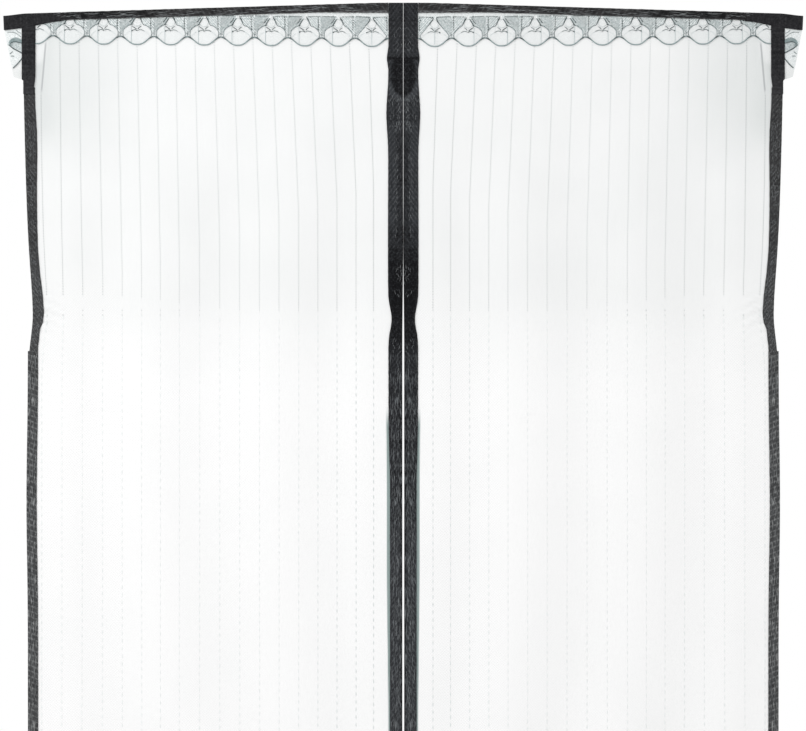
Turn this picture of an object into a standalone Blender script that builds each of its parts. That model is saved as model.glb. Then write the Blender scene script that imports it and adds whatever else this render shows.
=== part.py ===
"""Magnetic insect screen for a door: two net curtains that close on each other at the middle.

Metres, +Z up. The screen hangs in the plane y = 0 with its front towards -Y. x = 0 is the slit between
the two curtains and z = 0 is the lower hem. One curtain is described by u, the distance from the slit,
and z. Both curtains are built by the same functions, the left one with x = -u and the right one with x = u.
A drop is a distance down from the top of the screen at the slit.
"""

import math

import bpy

# Overall sizes
SCREEN_WIDTH = 1.000  # across the header's end tabs
SCREEN_HEIGHT = 2.100  # from the lower hem to the top of the header at the slit
BODY_INSET = 0.0308  # from the end of the header to the fold of the side binding
CLEARANCE = 0.0003  # between cloths that lie on each other

# Thickness of the cloths
NET_THICKNESS = 0.0005
STRIPE_RELIEF = 0.0003
LACE_THICKNESS = 0.0004
LACE_RELIEF = 0.0003
TAPE_THICKNESS = 0.0006
FOLD_ALLOWANCE = 0.0012  # between a tape's fold and the edge of the cloth inside it
FOLD_SHARE = 0.6  # how far the bend of a folded tape reaches in, as a share of its half thickness

# Header
HEADER_FALL = 0.0142  # how far the top edge falls towards each end
HEADER_LEVEL_LENGTH = 0.030  # beside the slit, before the top edge starts to fall
HEADER_HEIGHT = 0.0100
HEADER_FLARE = 0.0028  # extra height beside the centre band
HEADER_FLARE_LENGTH = 0.100
END_TAB_LENGTH = 0.073
END_TAB_HEIGHT = 0.0181  # at the outer end
END_TAB_INNER_HEIGHT = 0.0112
END_TAB_WIDENING = 0.055  # length over which the tab gets higher, from its inner end
END_TAB_DROOP = 0.0021
END_TAB_DROOP_LENGTH = 0.030

# Ear of net and lace outside the corner strap
EAR_DROP = 0.0956  # down to the ear's lower edge
EAR_FOOT_INSET = 0.0130  # from the end of the header to the ear's lower outer corner
EAR_FOOT_RISE = 0.0036
EAR_SIDE_INSET = 0.0016  # from the end of the header to the ear's outer edge under the end tab
EAR_LACE_LENGTH = 0.0395  # how far the lace hangs below the header at the strap's outer edge
EAR_LACE_SLOPE = 0.97  # how steeply its edge runs down from there

# Corner strap
STRAP_WIDTH = 0.0163
STRAP_INSET = 0.0234  # from the end of the header to the strap's outer edge
STRAP_OVERLAP = 0.0085  # over the top of the side binding

# Side binding
BINDING_WIDTH = 0.0129
BINDING_TOP_BELOW_EAR = 0.0099
BINDING_LEAN = 0.0047  # how far the upper tape leans outwards at its top
BINDING_JOINT_DROP = 0.435  # where the upper tape ends and the lower one starts
PINCH_DROP = 0.387  # the puckered spot in the side binding
PINCH_DEPTH = 0.0069
PINCH_SPREAD_ABOVE = 0.065
PINCH_SPREAD_BELOW = 0.030
PINCH_SWELL = 0.0012  # extra width of the tape at the pinch

# Magnets
MAGNET_LENGTH = 0.036
MAGNET_WIDTH = 0.008
MAGNET_THICKNESS = 0.0020
MAGNET_EDGE_ROUND = 0.0012
MAGNET_TOP_DROP = 0.0955  # down to the middle of the highest magnet
MAGNET_PITCH = 0.2635
MAGNET_HEM_MARGIN = 0.060  # least height of a magnet's middle above the hem
POCKET_TAPER = 0.010  # length over which the band flattens again above and below a magnet

# Centre band
NET_TUCK = 0.0070  # how far the net reaches into the band
LACE_TUCK = 0.0052
MAGNET_TO_NET = 0.0008
SLIT_HALF_GAP = 0.0003
SLIT_CLOSED_HALF_GAP = 0.0002
SLIT_LOWER_HALF_GAP = 0.0014
SLIT_CLOSED_DROP = 0.300
SLIT_CLOSED_SPREAD = 0.020
SLIT_OPENING_LENGTH = 0.080
SEAM_DROP = 0.069
SEAM_SWELL = 0.0020
SEAM_SPREAD = 0.007
SWELL_DROP = 0.138
SWELL = 0.0026
SWELL_SPREAD = 0.022
BAND_PINCH_DROP = 0.397
BAND_PINCH_DEPTH = 0.0042
BAND_PINCH_SPREAD = 0.013
BAND_NARROWING = 0.0018  # below the top of the bare selvedge
BAND_NARROWING_LENGTH = 0.100
SELVEDGE_DROP = 0.510
SELVEDGE_WIDTH = 0.0024  # of the net's ridge outside the band

# Lower hem
HEM_HEIGHT = 0.020

# Stripes of the net
STRIPE_PITCH = 0.0244
STRIPE_WIDTH = 0.0024
STRIPE_MARGIN = 0.0186  # from the band to the first stripe

# Waves of the hanging net
WAVE_DEPTH = 0.0030
WAVE_LENGTH = 0.150
WAVE_LEAN = 0.3  # turns by which the waves drift sideways over the height
WAVE_DROP = 0.070
WAVE_FADE_HEIGHT = 0.25
WAVE_FADE_WIDTH = 0.060
WAVE_MARGIN = 0.004  # flat strip beside the tapes

# Most height between two rows of the meshes
NET_ROW_STEP = 0.30
BINDING_ROW_STEP = 0.15
BAND_ROW_STEP = 0.25

# Lace
SCALLOP_PITCH = 0.0419
SCALLOP_DEPTH = 0.0094
LACE_DROP = 0.0542  # down to the lowest point of the innermost scallop
LACE_RISE = 0.0086  # how much higher the scallops hang for each metre outwards
LACE_CORD_WIDTH = 0.0014
PETAL_FOOT = 0.0142  # from a scallop's lowest point up to the foot of the dense net between two petals
PETAL_HEIGHT = 0.0208  # from there up to a petal's tip
PETAL_POINT = 0.65  # 1 is a straight-sided petal, less rounds its sides
COLUMNS_PER_SCALLOP = 8

# Sizes that follow from the ones above
HALF_WIDTH = SCREEN_WIDTH / 2
HALF_BODY = HALF_WIDTH - BODY_INSET
STRAP_OUTER = HALF_WIDTH - STRAP_INSET
STRAP_INNER = STRAP_OUTER - STRAP_WIDTH
NET_HALF = NET_THICKNESS / 2
COVER_HALF = NET_HALF + STRIPE_RELIEF + CLEARANCE  # inner half gap of a tape that wraps only the net
LACE_FACE = COVER_HALF + LACE_THICKNESS
LACE_CREST = LACE_FACE + LACE_RELIEF
LACE_COVER = LACE_CREST + CLEARANCE  # inner face of a tape that lies over the lace
EDGE_INSET = TAPE_THICKNESS + FOLD_ALLOWANCE
MAGNET_INSET = TAPE_THICKNESS + 2 * CLEARANCE
NET_INNER_EDGE = SLIT_LOWER_HALF_GAP + MAGNET_INSET + MAGNET_WIDTH + MAGNET_TO_NET
BAND_WIDTH = NET_INNER_EDGE + NET_TUCK
LACE_INNER_EDGE = BAND_WIDTH - LACE_TUCK
FIRST_STRIPE = BAND_WIDTH + STRIPE_MARGIN
FIRST_SCALLOP = BAND_WIDTH + SCALLOP_PITCH / 2
EAR_BOTTOM = SCREEN_HEIGHT - EAR_DROP
BINDING_TOP = EAR_BOTTOM - BINDING_TOP_BELOW_EAR
STRAP_BOTTOM = BINDING_TOP - STRAP_OVERLAP
BINDING_JOINT = SCREEN_HEIGHT - BINDING_JOINT_DROP
PINCH_HEIGHT = SCREEN_HEIGHT - PINCH_DROP
BAND_PINCH_HEIGHT = SCREEN_HEIGHT - BAND_PINCH_DROP
SEAM_HEIGHT = SCREEN_HEIGHT - SEAM_DROP
SWELL_HEIGHT = SCREEN_HEIGHT - SWELL_DROP
SLIT_CLOSED_HEIGHT = SCREEN_HEIGHT - SLIT_CLOSED_DROP
SELVEDGE_TOP = SCREEN_HEIGHT - SELVEDGE_DROP
LACE_BOTTOM = SCREEN_HEIGHT - LACE_DROP


def smooth_step(value):
    """0 below 0, 1 above 1 and smooth between."""
    t = min(1.0, max(0.0, value))
    return t * t * (3 - 2 * t)


def bell(offset, spread):
    """1 at offset 0, falling smoothly to 0."""
    return math.exp(-0.5 * (offset / spread) ** 2)


def blend(low, high, share):
    return low + (high - low) * share


def header_top(u):
    """Height of the header's top edge."""
    droop = END_TAB_DROOP * smooth_step(1 - (HALF_WIDTH - u) / END_TAB_DROOP_LENGTH)
    fall_share = max(0.0, u - HEADER_LEVEL_LENGTH) / (HALF_WIDTH - HEADER_LEVEL_LENGTH)
    return SCREEN_HEIGHT - HEADER_FALL * fall_share - droop


def header_bottom(u):
    """Height of the lower edge of the header tape and of the end tab."""
    from_tab_start = u - (HALF_WIDTH - END_TAB_LENGTH)
    if from_tab_start > 0:
        widened = min(1.0, from_tab_start / END_TAB_WIDENING)
        height = blend(END_TAB_INNER_HEIGHT, END_TAB_HEIGHT, widened)
    else:
        flare = HEADER_FLARE * (1 - smooth_step((u - BAND_WIDTH) / HEADER_FLARE_LENGTH))
        height = HEADER_HEIGHT + flare
    return header_top(u) - height


def pinch(z):
    """0 to 1: how much the side binding is drawn in at this height."""
    spread = PINCH_SPREAD_ABOVE if z > PINCH_HEIGHT else PINCH_SPREAD_BELOW
    return bell(z - PINCH_HEIGHT, spread)


def side_fold(z):
    """Distance from the slit to the outer fold of the upper side binding."""
    lean = BINDING_LEAN * max(0.0, z - BINDING_JOINT) / (BINDING_TOP - BINDING_JOINT)
    return HALF_BODY + lean - PINCH_DEPTH * pinch(z)


def slit_half_gap(z):
    """Distance from the middle of the slit to the band's inner fold."""
    below = SLIT_CLOSED_HEIGHT - z
    if below > 0:
        opened = smooth_step(below / SLIT_OPENING_LENGTH)
        return blend(SLIT_CLOSED_HALF_GAP, SLIT_LOWER_HALF_GAP, opened)
    return blend(SLIT_HALF_GAP, SLIT_CLOSED_HALF_GAP, bell(below, SLIT_CLOSED_SPREAD))


def band_edge(z):
    """Distance from the slit to the band's outer edge."""
    width = BAND_WIDTH
    width += SEAM_SWELL * bell(z - SEAM_HEIGHT, SEAM_SPREAD)
    width += SWELL * bell(z - SWELL_HEIGHT, SWELL_SPREAD)
    width -= BAND_PINCH_DEPTH * bell(z - BAND_PINCH_HEIGHT, BAND_PINCH_SPREAD)
    width -= BAND_NARROWING * smooth_step((SELVEDGE_TOP - z) / BAND_NARROWING_LENGTH)
    return width


def magnet_centres():
    highest = SCREEN_HEIGHT - MAGNET_TOP_DROP
    count = int((highest - MAGNET_HEM_MARGIN) / MAGNET_PITCH) + 1
    return [highest - MAGNET_PITCH * k for k in range(count)]


def pocket(z):
    """0 to 1: 1 beside a magnet, fading out above and below it."""
    nearest = min(abs(z - centre) for centre in magnet_centres())
    return 1 - smooth_step((nearest - MAGNET_LENGTH / 2 - CLEARANCE) / POCKET_TAPER)


def scallop_phase(u):
    """-0.5 to 0.5 across one scallop, 0 at its lowest point."""
    turns = (u - FIRST_SCALLOP) / SCALLOP_PITCH
    return turns - math.floor(turns + 0.5)


def scallop_bottom(u):
    """Height of the lowest points of the scallops near u."""
    return LACE_BOTTOM + LACE_RISE * (u - FIRST_SCALLOP)


def scallop_edge(u):
    """Height of the lace's lower edge between the band and the corner strap."""
    return scallop_bottom(u) + SCALLOP_DEPTH * (2 * abs(scallop_phase(u))) ** 2


def ear_lace_edge(u):
    """Height of the lace's lower edge outside the corner strap, cut off by the rim of the ear."""
    edge = header_bottom(STRAP_OUTER) - EAR_LACE_LENGTH - EAR_LACE_SLOPE * (u - STRAP_OUTER)
    foot = HALF_WIDTH - EAR_FOOT_INSET
    rim_share = (u - foot) / (EAR_FOOT_INSET - EAR_SIDE_INSET)
    rim = blend(EAR_BOTTOM + EAR_FOOT_RISE, header_bottom(HALF_WIDTH), max(0.0, rim_share))
    return max(edge, rim)


def lace_bottom(u):
    """Height of the lace's lower edge. The two edges meet behind the corner strap."""
    share = smooth_step((u - STRAP_INNER) / STRAP_WIDTH)
    return blend(scallop_edge(u), ear_lace_edge(u), share)


def petal_edge(u):
    """Height of the outline between the open petals and the dense net above them."""
    turn = 1 - 2 * abs(scallop_phase(u))
    return scallop_bottom(u) + PETAL_FOOT + PETAL_HEIGHT * turn**PETAL_POINT


def cloth_top(u):
    """Height of the top edge of net and lace inside the header."""
    return header_top(u) - EDGE_INSET


def wave(u, z):
    """How far the net stands off its plane at this point."""
    below_top = (SCREEN_HEIGHT - WAVE_DROP - z) / WAVE_FADE_HEIGHT
    above_hem = (z - HEM_HEIGHT) / WAVE_FADE_HEIGHT
    from_band = (u - BAND_WIDTH - WAVE_MARGIN) / WAVE_FADE_WIDTH
    from_side = (HALF_BODY - BINDING_WIDTH - PINCH_DEPTH - WAVE_MARGIN - u) / WAVE_FADE_WIDTH
    fade = smooth_step(below_top) * smooth_step(above_hem) * smooth_step(from_band) * smooth_step(from_side)
    turns = u / WAVE_LENGTH + WAVE_LEAN * math.sin(2 * math.pi * z / SCREEN_HEIGHT)
    return WAVE_DEPTH * fade * math.sin(2 * math.pi * turns)


def material(name, colour, roughness, metallic=0.0):
    found = bpy.data.materials.get(name)
    if found:
        return found
    made = bpy.data.materials.new(name)
    made.use_nodes = True
    shader = made.node_tree.nodes["Principled BSDF"]
    shader.inputs["Base Color"].default_value = (*colour, 1.0)
    shader.inputs["Roughness"].default_value = roughness
    shader.inputs["Metallic"].default_value = metallic
    return made


def net_material():
    return material("white_net", (0.91, 0.94, 0.94), 0.8)


def lace_material():
    return material("grey_green_lace", (0.62, 0.70, 0.70), 0.75)


def matte_tape_material():
    return material("matte_black_tape", (0.025, 0.025, 0.027), 0.85)


def fibre_tape_material():
    return material("fibrous_black_tape", (0.05, 0.055, 0.058), 0.6)


def magnet_material():
    return material("magnet_steel", (0.35, 0.35, 0.36), 0.35, 0.9)


def finish(name, vertices, faces, surface, side):
    """Make the object. side is -1 for the left curtain and 1 for the right one."""
    placed = [(side * u, y, z) for u, y, z in vertices]
    ordered = faces if side > 0 else [tuple(reversed(face)) for face in faces]
    mesh = bpy.data.meshes.new(name)
    mesh.from_pydata(placed, [], ordered)
    mesh.validate()
    mesh.materials.append(surface)
    made = bpy.data.objects.new(name, mesh)
    bpy.context.scene.collection.objects.link(made)
    return made


def slab(name, front, back, surface, side):
    """A closed sheet between two grids of (u, y, z) points. Rows go up and columns go outwards.

    Where a point is None, the sheet ends: its edge runs around the cells that have four points.
    Each cell is cut along the same diagonal in front and at the back, so a thin wavy sheet stays closed
    and its two sides never cross.
    """
    vertices = []
    numbers = {}

    def vertex(layer, place):
        key = (layer, place)
        if key not in numbers:
            row, column = place
            numbers[key] = len(vertices)
            vertices.append((front, back)[layer][row][column])
        return numbers[key]

    def corners(row, column):
        return (row, column), (row, column + 1), (row + 1, column + 1), (row + 1, column)

    def filled(row, column):
        if not (0 <= row < len(front) - 1 and 0 <= column < len(front[0]) - 1):
            return False
        return all(front[r][c] is not None for r, c in corners(row, column))

    faces = []
    for row in range(len(front) - 1):
        for column in range(len(front[0]) - 1):
            if not filled(row, column):
                continue
            cell = corners(row, column)
            for half in (cell[:3], (cell[0], cell[2], cell[3])):
                faces.append(tuple(vertex(0, corner) for corner in half))
                faces.append(tuple(vertex(1, corner) for corner in reversed(half)))
            neighbours = ((row - 1, column), (row, column + 1), (row + 1, column), (row, column - 1))
            for index, neighbour in enumerate(neighbours):
                if filled(*neighbour):
                    continue
                first = cell[index]
                second = cell[(index + 1) % 4]
                faces.append((vertex(0, second), vertex(0, first), vertex(1, first), vertex(1, second)))
    return finish(name, vertices, faces, surface, side)


def loft(name, sections, surface, side):
    """A closed body through a row of sections, each a ring of the same number of (u, y, z) points.

    A ring's first half is one side of the wall and its second half runs back along the other side.
    """
    count = len(sections[0])
    vertices = [point for section in sections for point in section]
    faces = []
    for index in range(len(sections) - 1):
        low = index * count
        high = low + count
        for k in range(count):
            following = (k + 1) % count
            faces.append((low + k, low + following, high + following, high + k))
    last = (len(sections) - 1) * count
    for k in range(count // 2 - 1):
        cap = (k, k + 1, count - 2 - k, count - 1 - k)
        faces.append(tuple(reversed(cap)))
        faces.append(tuple(last + corner for corner in cap))
    return finish(name, vertices, faces, surface, side)


def folded_ring(front_gap, back_gap, front_reach, back_reach):
    """A tape folded over an edge, as a ring of (across, y) points, with across 0 at the fold.

    The outer side runs from the back edge around the fold to the front edge, and the inner side back.
    """
    front = front_gap + TAPE_THICKNESS
    back = back_gap + TAPE_THICKNESS
    bend = FOLD_SHARE * min(front, back)
    inner_bend = bend + TAPE_THICKNESS / 3
    outer = [
        (back_reach, back),
        (bend, back),
        (0.0, (back - front) / 2),
        (bend, -front),
        (front_reach, -front),
    ]
    inner = [
        (front_reach, -front_gap),
        (inner_bend, -front_gap),
        (TAPE_THICKNESS, (back_gap - front_gap) / 2),
        (inner_bend, back_gap),
        (back_reach, back_gap),
    ]
    return outer + inner


def heights(low, high, marks, step):
    """Heights from low to high, at most step apart, with the marks between them."""
    stops = sorted({low, high, *[z for z in marks if low < z < high]})
    result = [low]
    for lower, upper in zip(stops, stops[1:]):
        parts = max(1, round((upper - lower) / step + 0.4))
        result += [blend(lower, upper, k / parts) for k in range(1, parts + 1)]
    return result


def even(low, high, parts):
    return [blend(low, high, k / parts) for k in range(parts + 1)]


def net_columns():
    """Columns of the net inside the side binding, as (distance from the slit, share of the relief)."""
    columns = [(NET_INNER_EDGE, 0.0), (BAND_WIDTH, 1.0), (BAND_WIDTH + SELVEDGE_WIDTH, 0.0)]
    outermost = HALF_BODY - BINDING_WIDTH - STRIPE_WIDTH
    count = int((outermost - FIRST_STRIPE) / STRIPE_PITCH) + 1
    half = STRIPE_WIDTH / 2
    for k in range(count):
        stripe = FIRST_STRIPE + STRIPE_PITCH * k
        columns += [(stripe - half, 0.0), (stripe, 1.0), (stripe + half, 0.0)]
    return columns


def net_levels():
    """Heights of the net's rows up to the ear."""
    marks = [BINDING_JOINT, PINCH_HEIGHT, PINCH_HEIGHT + PINCH_SPREAD_ABOVE]
    return heights(EDGE_INSET, EAR_BOTTOM, marks, NET_ROW_STEP)


def net_panel(side, label):
    """The net. Its outer columns end at the side binding below and spread into the ear above."""
    columns = net_columns()
    ear_top = header_bottom(HALF_WIDTH)
    ear_foot = HALF_WIDTH - EAR_FOOT_INSET
    ear_side = HALF_WIDTH - EAR_SIDE_INSET
    levels = net_levels() + [blend(EAR_BOTTOM, ear_top, 0.5), ear_top, SCREEN_HEIGHT]
    front = []
    back = []
    for level in levels:
        share = min(1.0, (level - EAR_BOTTOM) / (ear_top - EAR_BOTTOM))
        edge = side_fold(min(level, EAR_BOTTOM)) - EDGE_INSET
        outer = blend(ear_foot, ear_side, share)
        places = [*columns, (edge, 0.0)]
        if level >= EAR_BOTTOM:
            places += [(blend(edge, outer, 0.6), 0.0), (outer, 0.0)]
        front_row = []
        back_row = []
        for u, relief in places:
            z = level if level < SCREEN_HEIGHT else cloth_top(u)
            if level == EAR_BOTTOM and u > edge:
                z += EAR_FOOT_RISE * ((u - edge) / (outer - edge)) ** 2
            middle = wave(u, z)
            front_row.append((u, middle - NET_HALF - STRIPE_RELIEF * relief, z))
            back_row.append((u, middle + NET_HALF, z))
        missing = [None] * (len(columns) + 3 - len(places))
        front.append(front_row + missing)
        back.append(back_row + missing)
    return slab(f"net_panel_{label}", front, back, net_material(), side)


def lace_trim(side, label):
    """The lace, with a raised cord along the scallops, raised petal outlines and dense net above them."""
    end = HALF_WIDTH - EAR_SIDE_INSET - CLEARANCE
    step = SCALLOP_PITCH / COLUMNS_PER_SCALLOP
    count = int((end - BAND_WIDTH) / step)
    places = [LACE_INNER_EDGE] + [BAND_WIDTH + step * k for k in range(count)] + [end]
    cord = LACE_CORD_WIDTH
    columns = []
    for u in places:
        top = cloth_top(u)
        foot = lace_bottom(u)
        petal = max(foot + 4 * cord, min(petal_edge(u), top - 2 * cord))
        columns.append(
            (
                (foot, LACE_FACE),
                (foot + cord / 2, LACE_CREST),
                (foot + cord, LACE_FACE),
                (petal - cord, LACE_FACE),
                (petal, LACE_CREST),
                (top, LACE_CREST),
            )
        )
    rows = range(len(columns[0]))
    front = [[(u, -column[row][1], column[row][0]) for u, column in zip(places, columns)] for row in rows]
    back = [[(u, -COVER_HALF, z) for u, _, z in line] for line in front]
    return slab(f"lace_trim_{label}", front, back, lace_material(), side)


def header_section(u, back_reach):
    """Section of the header at u, folded over the top of net and lace."""
    top = header_top(u)
    ring = folded_ring(LACE_COVER, COVER_HALF, top - header_bottom(u), back_reach)
    return [(u, y, top - across) for across, y in ring]


def header_tape(side, label):
    start = BAND_WIDTH + CLEARANCE
    flare_end = start + HEADER_FLARE_LENGTH
    tab_start = HALF_WIDTH - END_TAB_LENGTH
    places = even(start, flare_end, 4) + even(flare_end, tab_start, 4)[1:]
    sections = [header_section(u, HEADER_HEIGHT) for u in places]
    return loft(f"header_tape_{label}", sections, fibre_tape_material(), side)


def header_end_tab(side, label):
    start = HALF_WIDTH - END_TAB_LENGTH + CLEARANCE
    droop_start = HALF_WIDTH - END_TAB_DROOP_LENGTH
    places = [start] + even(droop_start, HALF_WIDTH, 4)
    sections = [header_section(u, END_TAB_INNER_HEIGHT) for u in places]
    return loft(f"header_end_tab_{label}", sections, matte_tape_material(), side)


def corner_strap(side, label):
    """A flat tape in front of the lace, from the end tab down over the top of the side binding."""
    columns = even(STRAP_INNER, STRAP_OUTER, 2)
    face = LACE_COVER + TAPE_THICKNESS
    levels = even(STRAP_BOTTOM, EAR_BOTTOM, 2)
    rows = [[(u, z) for u in columns] for z in levels]
    rows.append([(u, header_bottom(u) - CLEARANCE) for u in columns])
    front = [[(u, -face, z) for u, z in row] for row in rows]
    back = [[(u, -LACE_COVER, z) for u, z in row] for row in rows]
    return slab(f"corner_strap_{label}", front, back, matte_tape_material(), side)


def binding_section(z, fold, width):
    """Section of a side binding at height z, its fold outwards."""
    ring = folded_ring(COVER_HALF, COVER_HALF, width, width)
    return [(fold - across, y, z) for across, y in reversed(ring)]


def side_binding_upper(side, label):
    marks = [PINCH_HEIGHT + PINCH_SPREAD_ABOVE * k for k in (0, 0.5, 1, 2)]
    marks.append(PINCH_HEIGHT - PINCH_SPREAD_BELOW * 0.7)
    levels = heights(BINDING_JOINT + CLEARANCE, BINDING_TOP, marks, BINDING_ROW_STEP)
    sections = [binding_section(z, side_fold(z), BINDING_WIDTH + PINCH_SWELL * pinch(z)) for z in levels]
    return loft(f"side_binding_upper_{label}", sections, matte_tape_material(), side)


def side_binding_lower(side, label):
    levels = even(0.0, BINDING_JOINT, 6)
    sections = [binding_section(z, HALF_BODY, BINDING_WIDTH) for z in levels]
    return loft(f"side_binding_lower_{label}", sections, fibre_tape_material(), side)


def lace_foot_in_band():
    """Height just below the end of the lace that lies inside the centre band."""
    return min(lace_bottom(LACE_INNER_EDGE), lace_bottom(BAND_WIDTH)) - LACE_CORD_WIDTH


def band_section(z):
    """Section of the centre band at height z, its fold at the slit."""
    beside_magnet = MAGNET_THICKNESS / 2 + CLEARANCE
    back_gap = max(COVER_HALF, blend(COVER_HALF, beside_magnet, pocket(z)))
    front_gap = max(back_gap, LACE_COVER) if z >= lace_foot_in_band() else back_gap
    fold = slit_half_gap(z)
    width = band_edge(z) - fold
    ring = folded_ring(front_gap, back_gap, width, width)
    return [(fold + across, y, z) for across, y in ring]


def centre_band(side, label):
    """The wide folded tape at the slit. It stands proud over each magnet and over the end of the lace."""
    lace_foot = lace_foot_in_band()
    marks = [lace_foot, lace_foot - POCKET_TAPER / 2, SWELL_HEIGHT, SLIT_CLOSED_HEIGHT]
    marks += [SLIT_CLOSED_HEIGHT - SLIT_OPENING_LENGTH, SELVEDGE_TOP, SELVEDGE_TOP - BAND_NARROWING_LENGTH]
    marks += [SEAM_HEIGHT + SEAM_SPREAD * k for k in (-1.5, 0)]
    marks += [BAND_PINCH_HEIGHT + BAND_PINCH_SPREAD * k for k in (-2, -1, 0, 1)]
    for centre in magnet_centres():
        flat = MAGNET_LENGTH / 2 + CLEARANCE
        for reach in (flat, flat + POCKET_TAPER):
            marks += [centre - reach, centre + reach]
    levels = heights(0.0, header_top(0), marks, BAND_ROW_STEP)
    sections = [band_section(z) for z in levels]
    return loft(f"centre_band_{label}", sections, fibre_tape_material(), side)


def bottom_hem(side, label):
    start = band_edge(0) + CLEARANCE
    end = HALF_BODY - BINDING_WIDTH - CLEARANCE
    ring = folded_ring(COVER_HALF, COVER_HALF, HEM_HEIGHT, HEM_HEIGHT)
    sections = [[(u, y, across) for across, y in reversed(ring)] for u in even(start, end, 3)]
    return loft(f"bottom_hem_{label}", sections, fibre_tape_material(), side)


def magnet(side, label, number, centre):
    """A flat bar with chamfered long edges, seated inside the band's fold."""
    reach = MAGNET_LENGTH / 2
    inner = max(slit_half_gap(centre - reach), slit_half_gap(centre + reach)) + MAGNET_INSET
    outer = inner + MAGNET_WIDTH
    half = MAGNET_THICKNESS / 2
    flat = 0.4 * half
    ring = [
        (inner, -flat),
        (inner + MAGNET_EDGE_ROUND, -half),
        (outer - MAGNET_EDGE_ROUND, -half),
        (outer, -flat),
        (outer, flat),
        (outer - MAGNET_EDGE_ROUND, half),
        (inner + MAGNET_EDGE_ROUND, half),
        (inner, flat),
    ]
    sections = [[(u, y, z) for u, y in ring] for z in (centre - reach, centre + reach)]
    return loft(f"magnet_{label}_{number}", sections, magnet_material(), side)


def curtain(side, label):
    net_panel(side, label)
    lace_trim(side, label)
    header_tape(side, label)
    header_end_tab(side, label)
    corner_strap(side, label)
    side_binding_upper(side, label)
    side_binding_lower(side, label)
    centre_band(side, label)
    bottom_hem(side, label)
    for index, centre in enumerate(magnet_centres()):
        magnet(side, label, index + 1, centre)


def main():
    for item in list(bpy.data.objects):
        bpy.data.objects.remove(item, do_unlink=True)
    curtain(-1, "left")
    curtain(1, "right")


main()
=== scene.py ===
"""Magnetic insect screen: two white net curtains bound in black tape that close on each other.

Metres, +Z up. The screen hangs in the plane y = 0 with its front towards -Y. One curtain is described by
u, the distance from the slit, and z. Everything is made for the left curtain, at x = -u, and copied
mirrored for the right one.
"""

import math
import random

import bmesh
import bpy
import numpy as np
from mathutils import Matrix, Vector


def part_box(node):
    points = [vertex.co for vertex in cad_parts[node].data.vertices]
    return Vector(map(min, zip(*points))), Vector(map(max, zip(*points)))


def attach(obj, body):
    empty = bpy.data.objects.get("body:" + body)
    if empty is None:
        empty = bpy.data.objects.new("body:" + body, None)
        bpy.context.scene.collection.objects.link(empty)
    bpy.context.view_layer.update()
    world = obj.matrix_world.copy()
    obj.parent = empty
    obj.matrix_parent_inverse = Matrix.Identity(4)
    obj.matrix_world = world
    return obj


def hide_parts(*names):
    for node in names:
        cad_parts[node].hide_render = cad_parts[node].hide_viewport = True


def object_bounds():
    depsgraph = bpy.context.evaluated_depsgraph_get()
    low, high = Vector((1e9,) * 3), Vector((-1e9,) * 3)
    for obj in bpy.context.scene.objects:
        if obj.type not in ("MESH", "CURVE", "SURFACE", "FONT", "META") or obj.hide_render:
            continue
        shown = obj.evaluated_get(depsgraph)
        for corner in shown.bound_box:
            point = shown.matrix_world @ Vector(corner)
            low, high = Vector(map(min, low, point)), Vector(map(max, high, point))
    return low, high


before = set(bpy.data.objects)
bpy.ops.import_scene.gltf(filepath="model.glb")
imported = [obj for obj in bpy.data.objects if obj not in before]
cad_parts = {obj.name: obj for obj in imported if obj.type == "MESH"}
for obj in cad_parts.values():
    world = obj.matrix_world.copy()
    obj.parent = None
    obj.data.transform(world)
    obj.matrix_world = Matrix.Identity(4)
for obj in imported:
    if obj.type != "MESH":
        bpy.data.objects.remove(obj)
cad_low, cad_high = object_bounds()


def span(node, axis):
    """Lowest and highest place of a CAD node along one axis."""
    low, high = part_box(node)
    return low[axis], high[axis]


# Sizes taken from the frame. Across a left node u runs against x.
HALF_WIDTH = cad_high.x
SCREEN_HEIGHT = cad_high.z
HALF_BODY = -span("side_binding_lower_left", 0)[0]
BINDING_WIDTH = HALF_BODY + span("side_binding_lower_left", 0)[1]
BINDING_JOINT = span("side_binding_lower_left", 2)[1]
BINDING_TOP = span("side_binding_upper_left", 2)[1]
STRAP_OUTER = -span("corner_strap_left", 0)[0]
STRAP_INNER = -span("corner_strap_left", 0)[1]
STRAP_BOTTOM = span("corner_strap_left", 2)[0]
TAB_START = -span("header_end_tab_left", 0)[1]
HEADER_START = -span("header_tape_left", 0)[1]
HEM_START = -span("bottom_hem_left", 0)[1]
HEM_END = -span("bottom_hem_left", 0)[0]
HEM_HEIGHT = span("bottom_hem_left", 2)[1]
NET_INNER_EDGE = -span("net_panel_left", 0)[1]
MAGNET_NODES = sorted(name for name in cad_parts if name.startswith("magnet_left"))
MAGNET_CENTRES = [sum(span(name, 2)) / 2 for name in MAGNET_NODES]

# Cloth thicknesses and gaps, front to back
TAPE_THICKNESS = 0.0006
NET_ROOM = 0.00085  # from the plane y = 0 to the inner face of a tape that wraps only the net
LACE_DEPTH = 0.00105
LACE_ROOM = 0.00185
FOLD_SHARE = 0.6  # depth of a round fold, as a share of the tape's distance from y = 0
EDGE_INSET = 0.0018  # how far net and lace stay inside the folds of the tapes

# Header
HEADER_FALL = 0.0142
HEADER_LEVEL_LENGTH = 0.030
HEADER_HEIGHT = 0.0100
HEADER_FLARE = 0.0028
HEADER_FLARE_LENGTH = 0.100
TAB_LENGTH = 0.073
TAB_HEIGHT = 0.0181
TAB_INNER_HEIGHT = 0.0112
TAB_WIDENING = 0.055
TAB_DROOP = 0.0021
TAB_DROOP_LENGTH = 0.030
HEADER_OVERLAP = 0.0020  # how far the header tape's rounded end lies over the end tab

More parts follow.
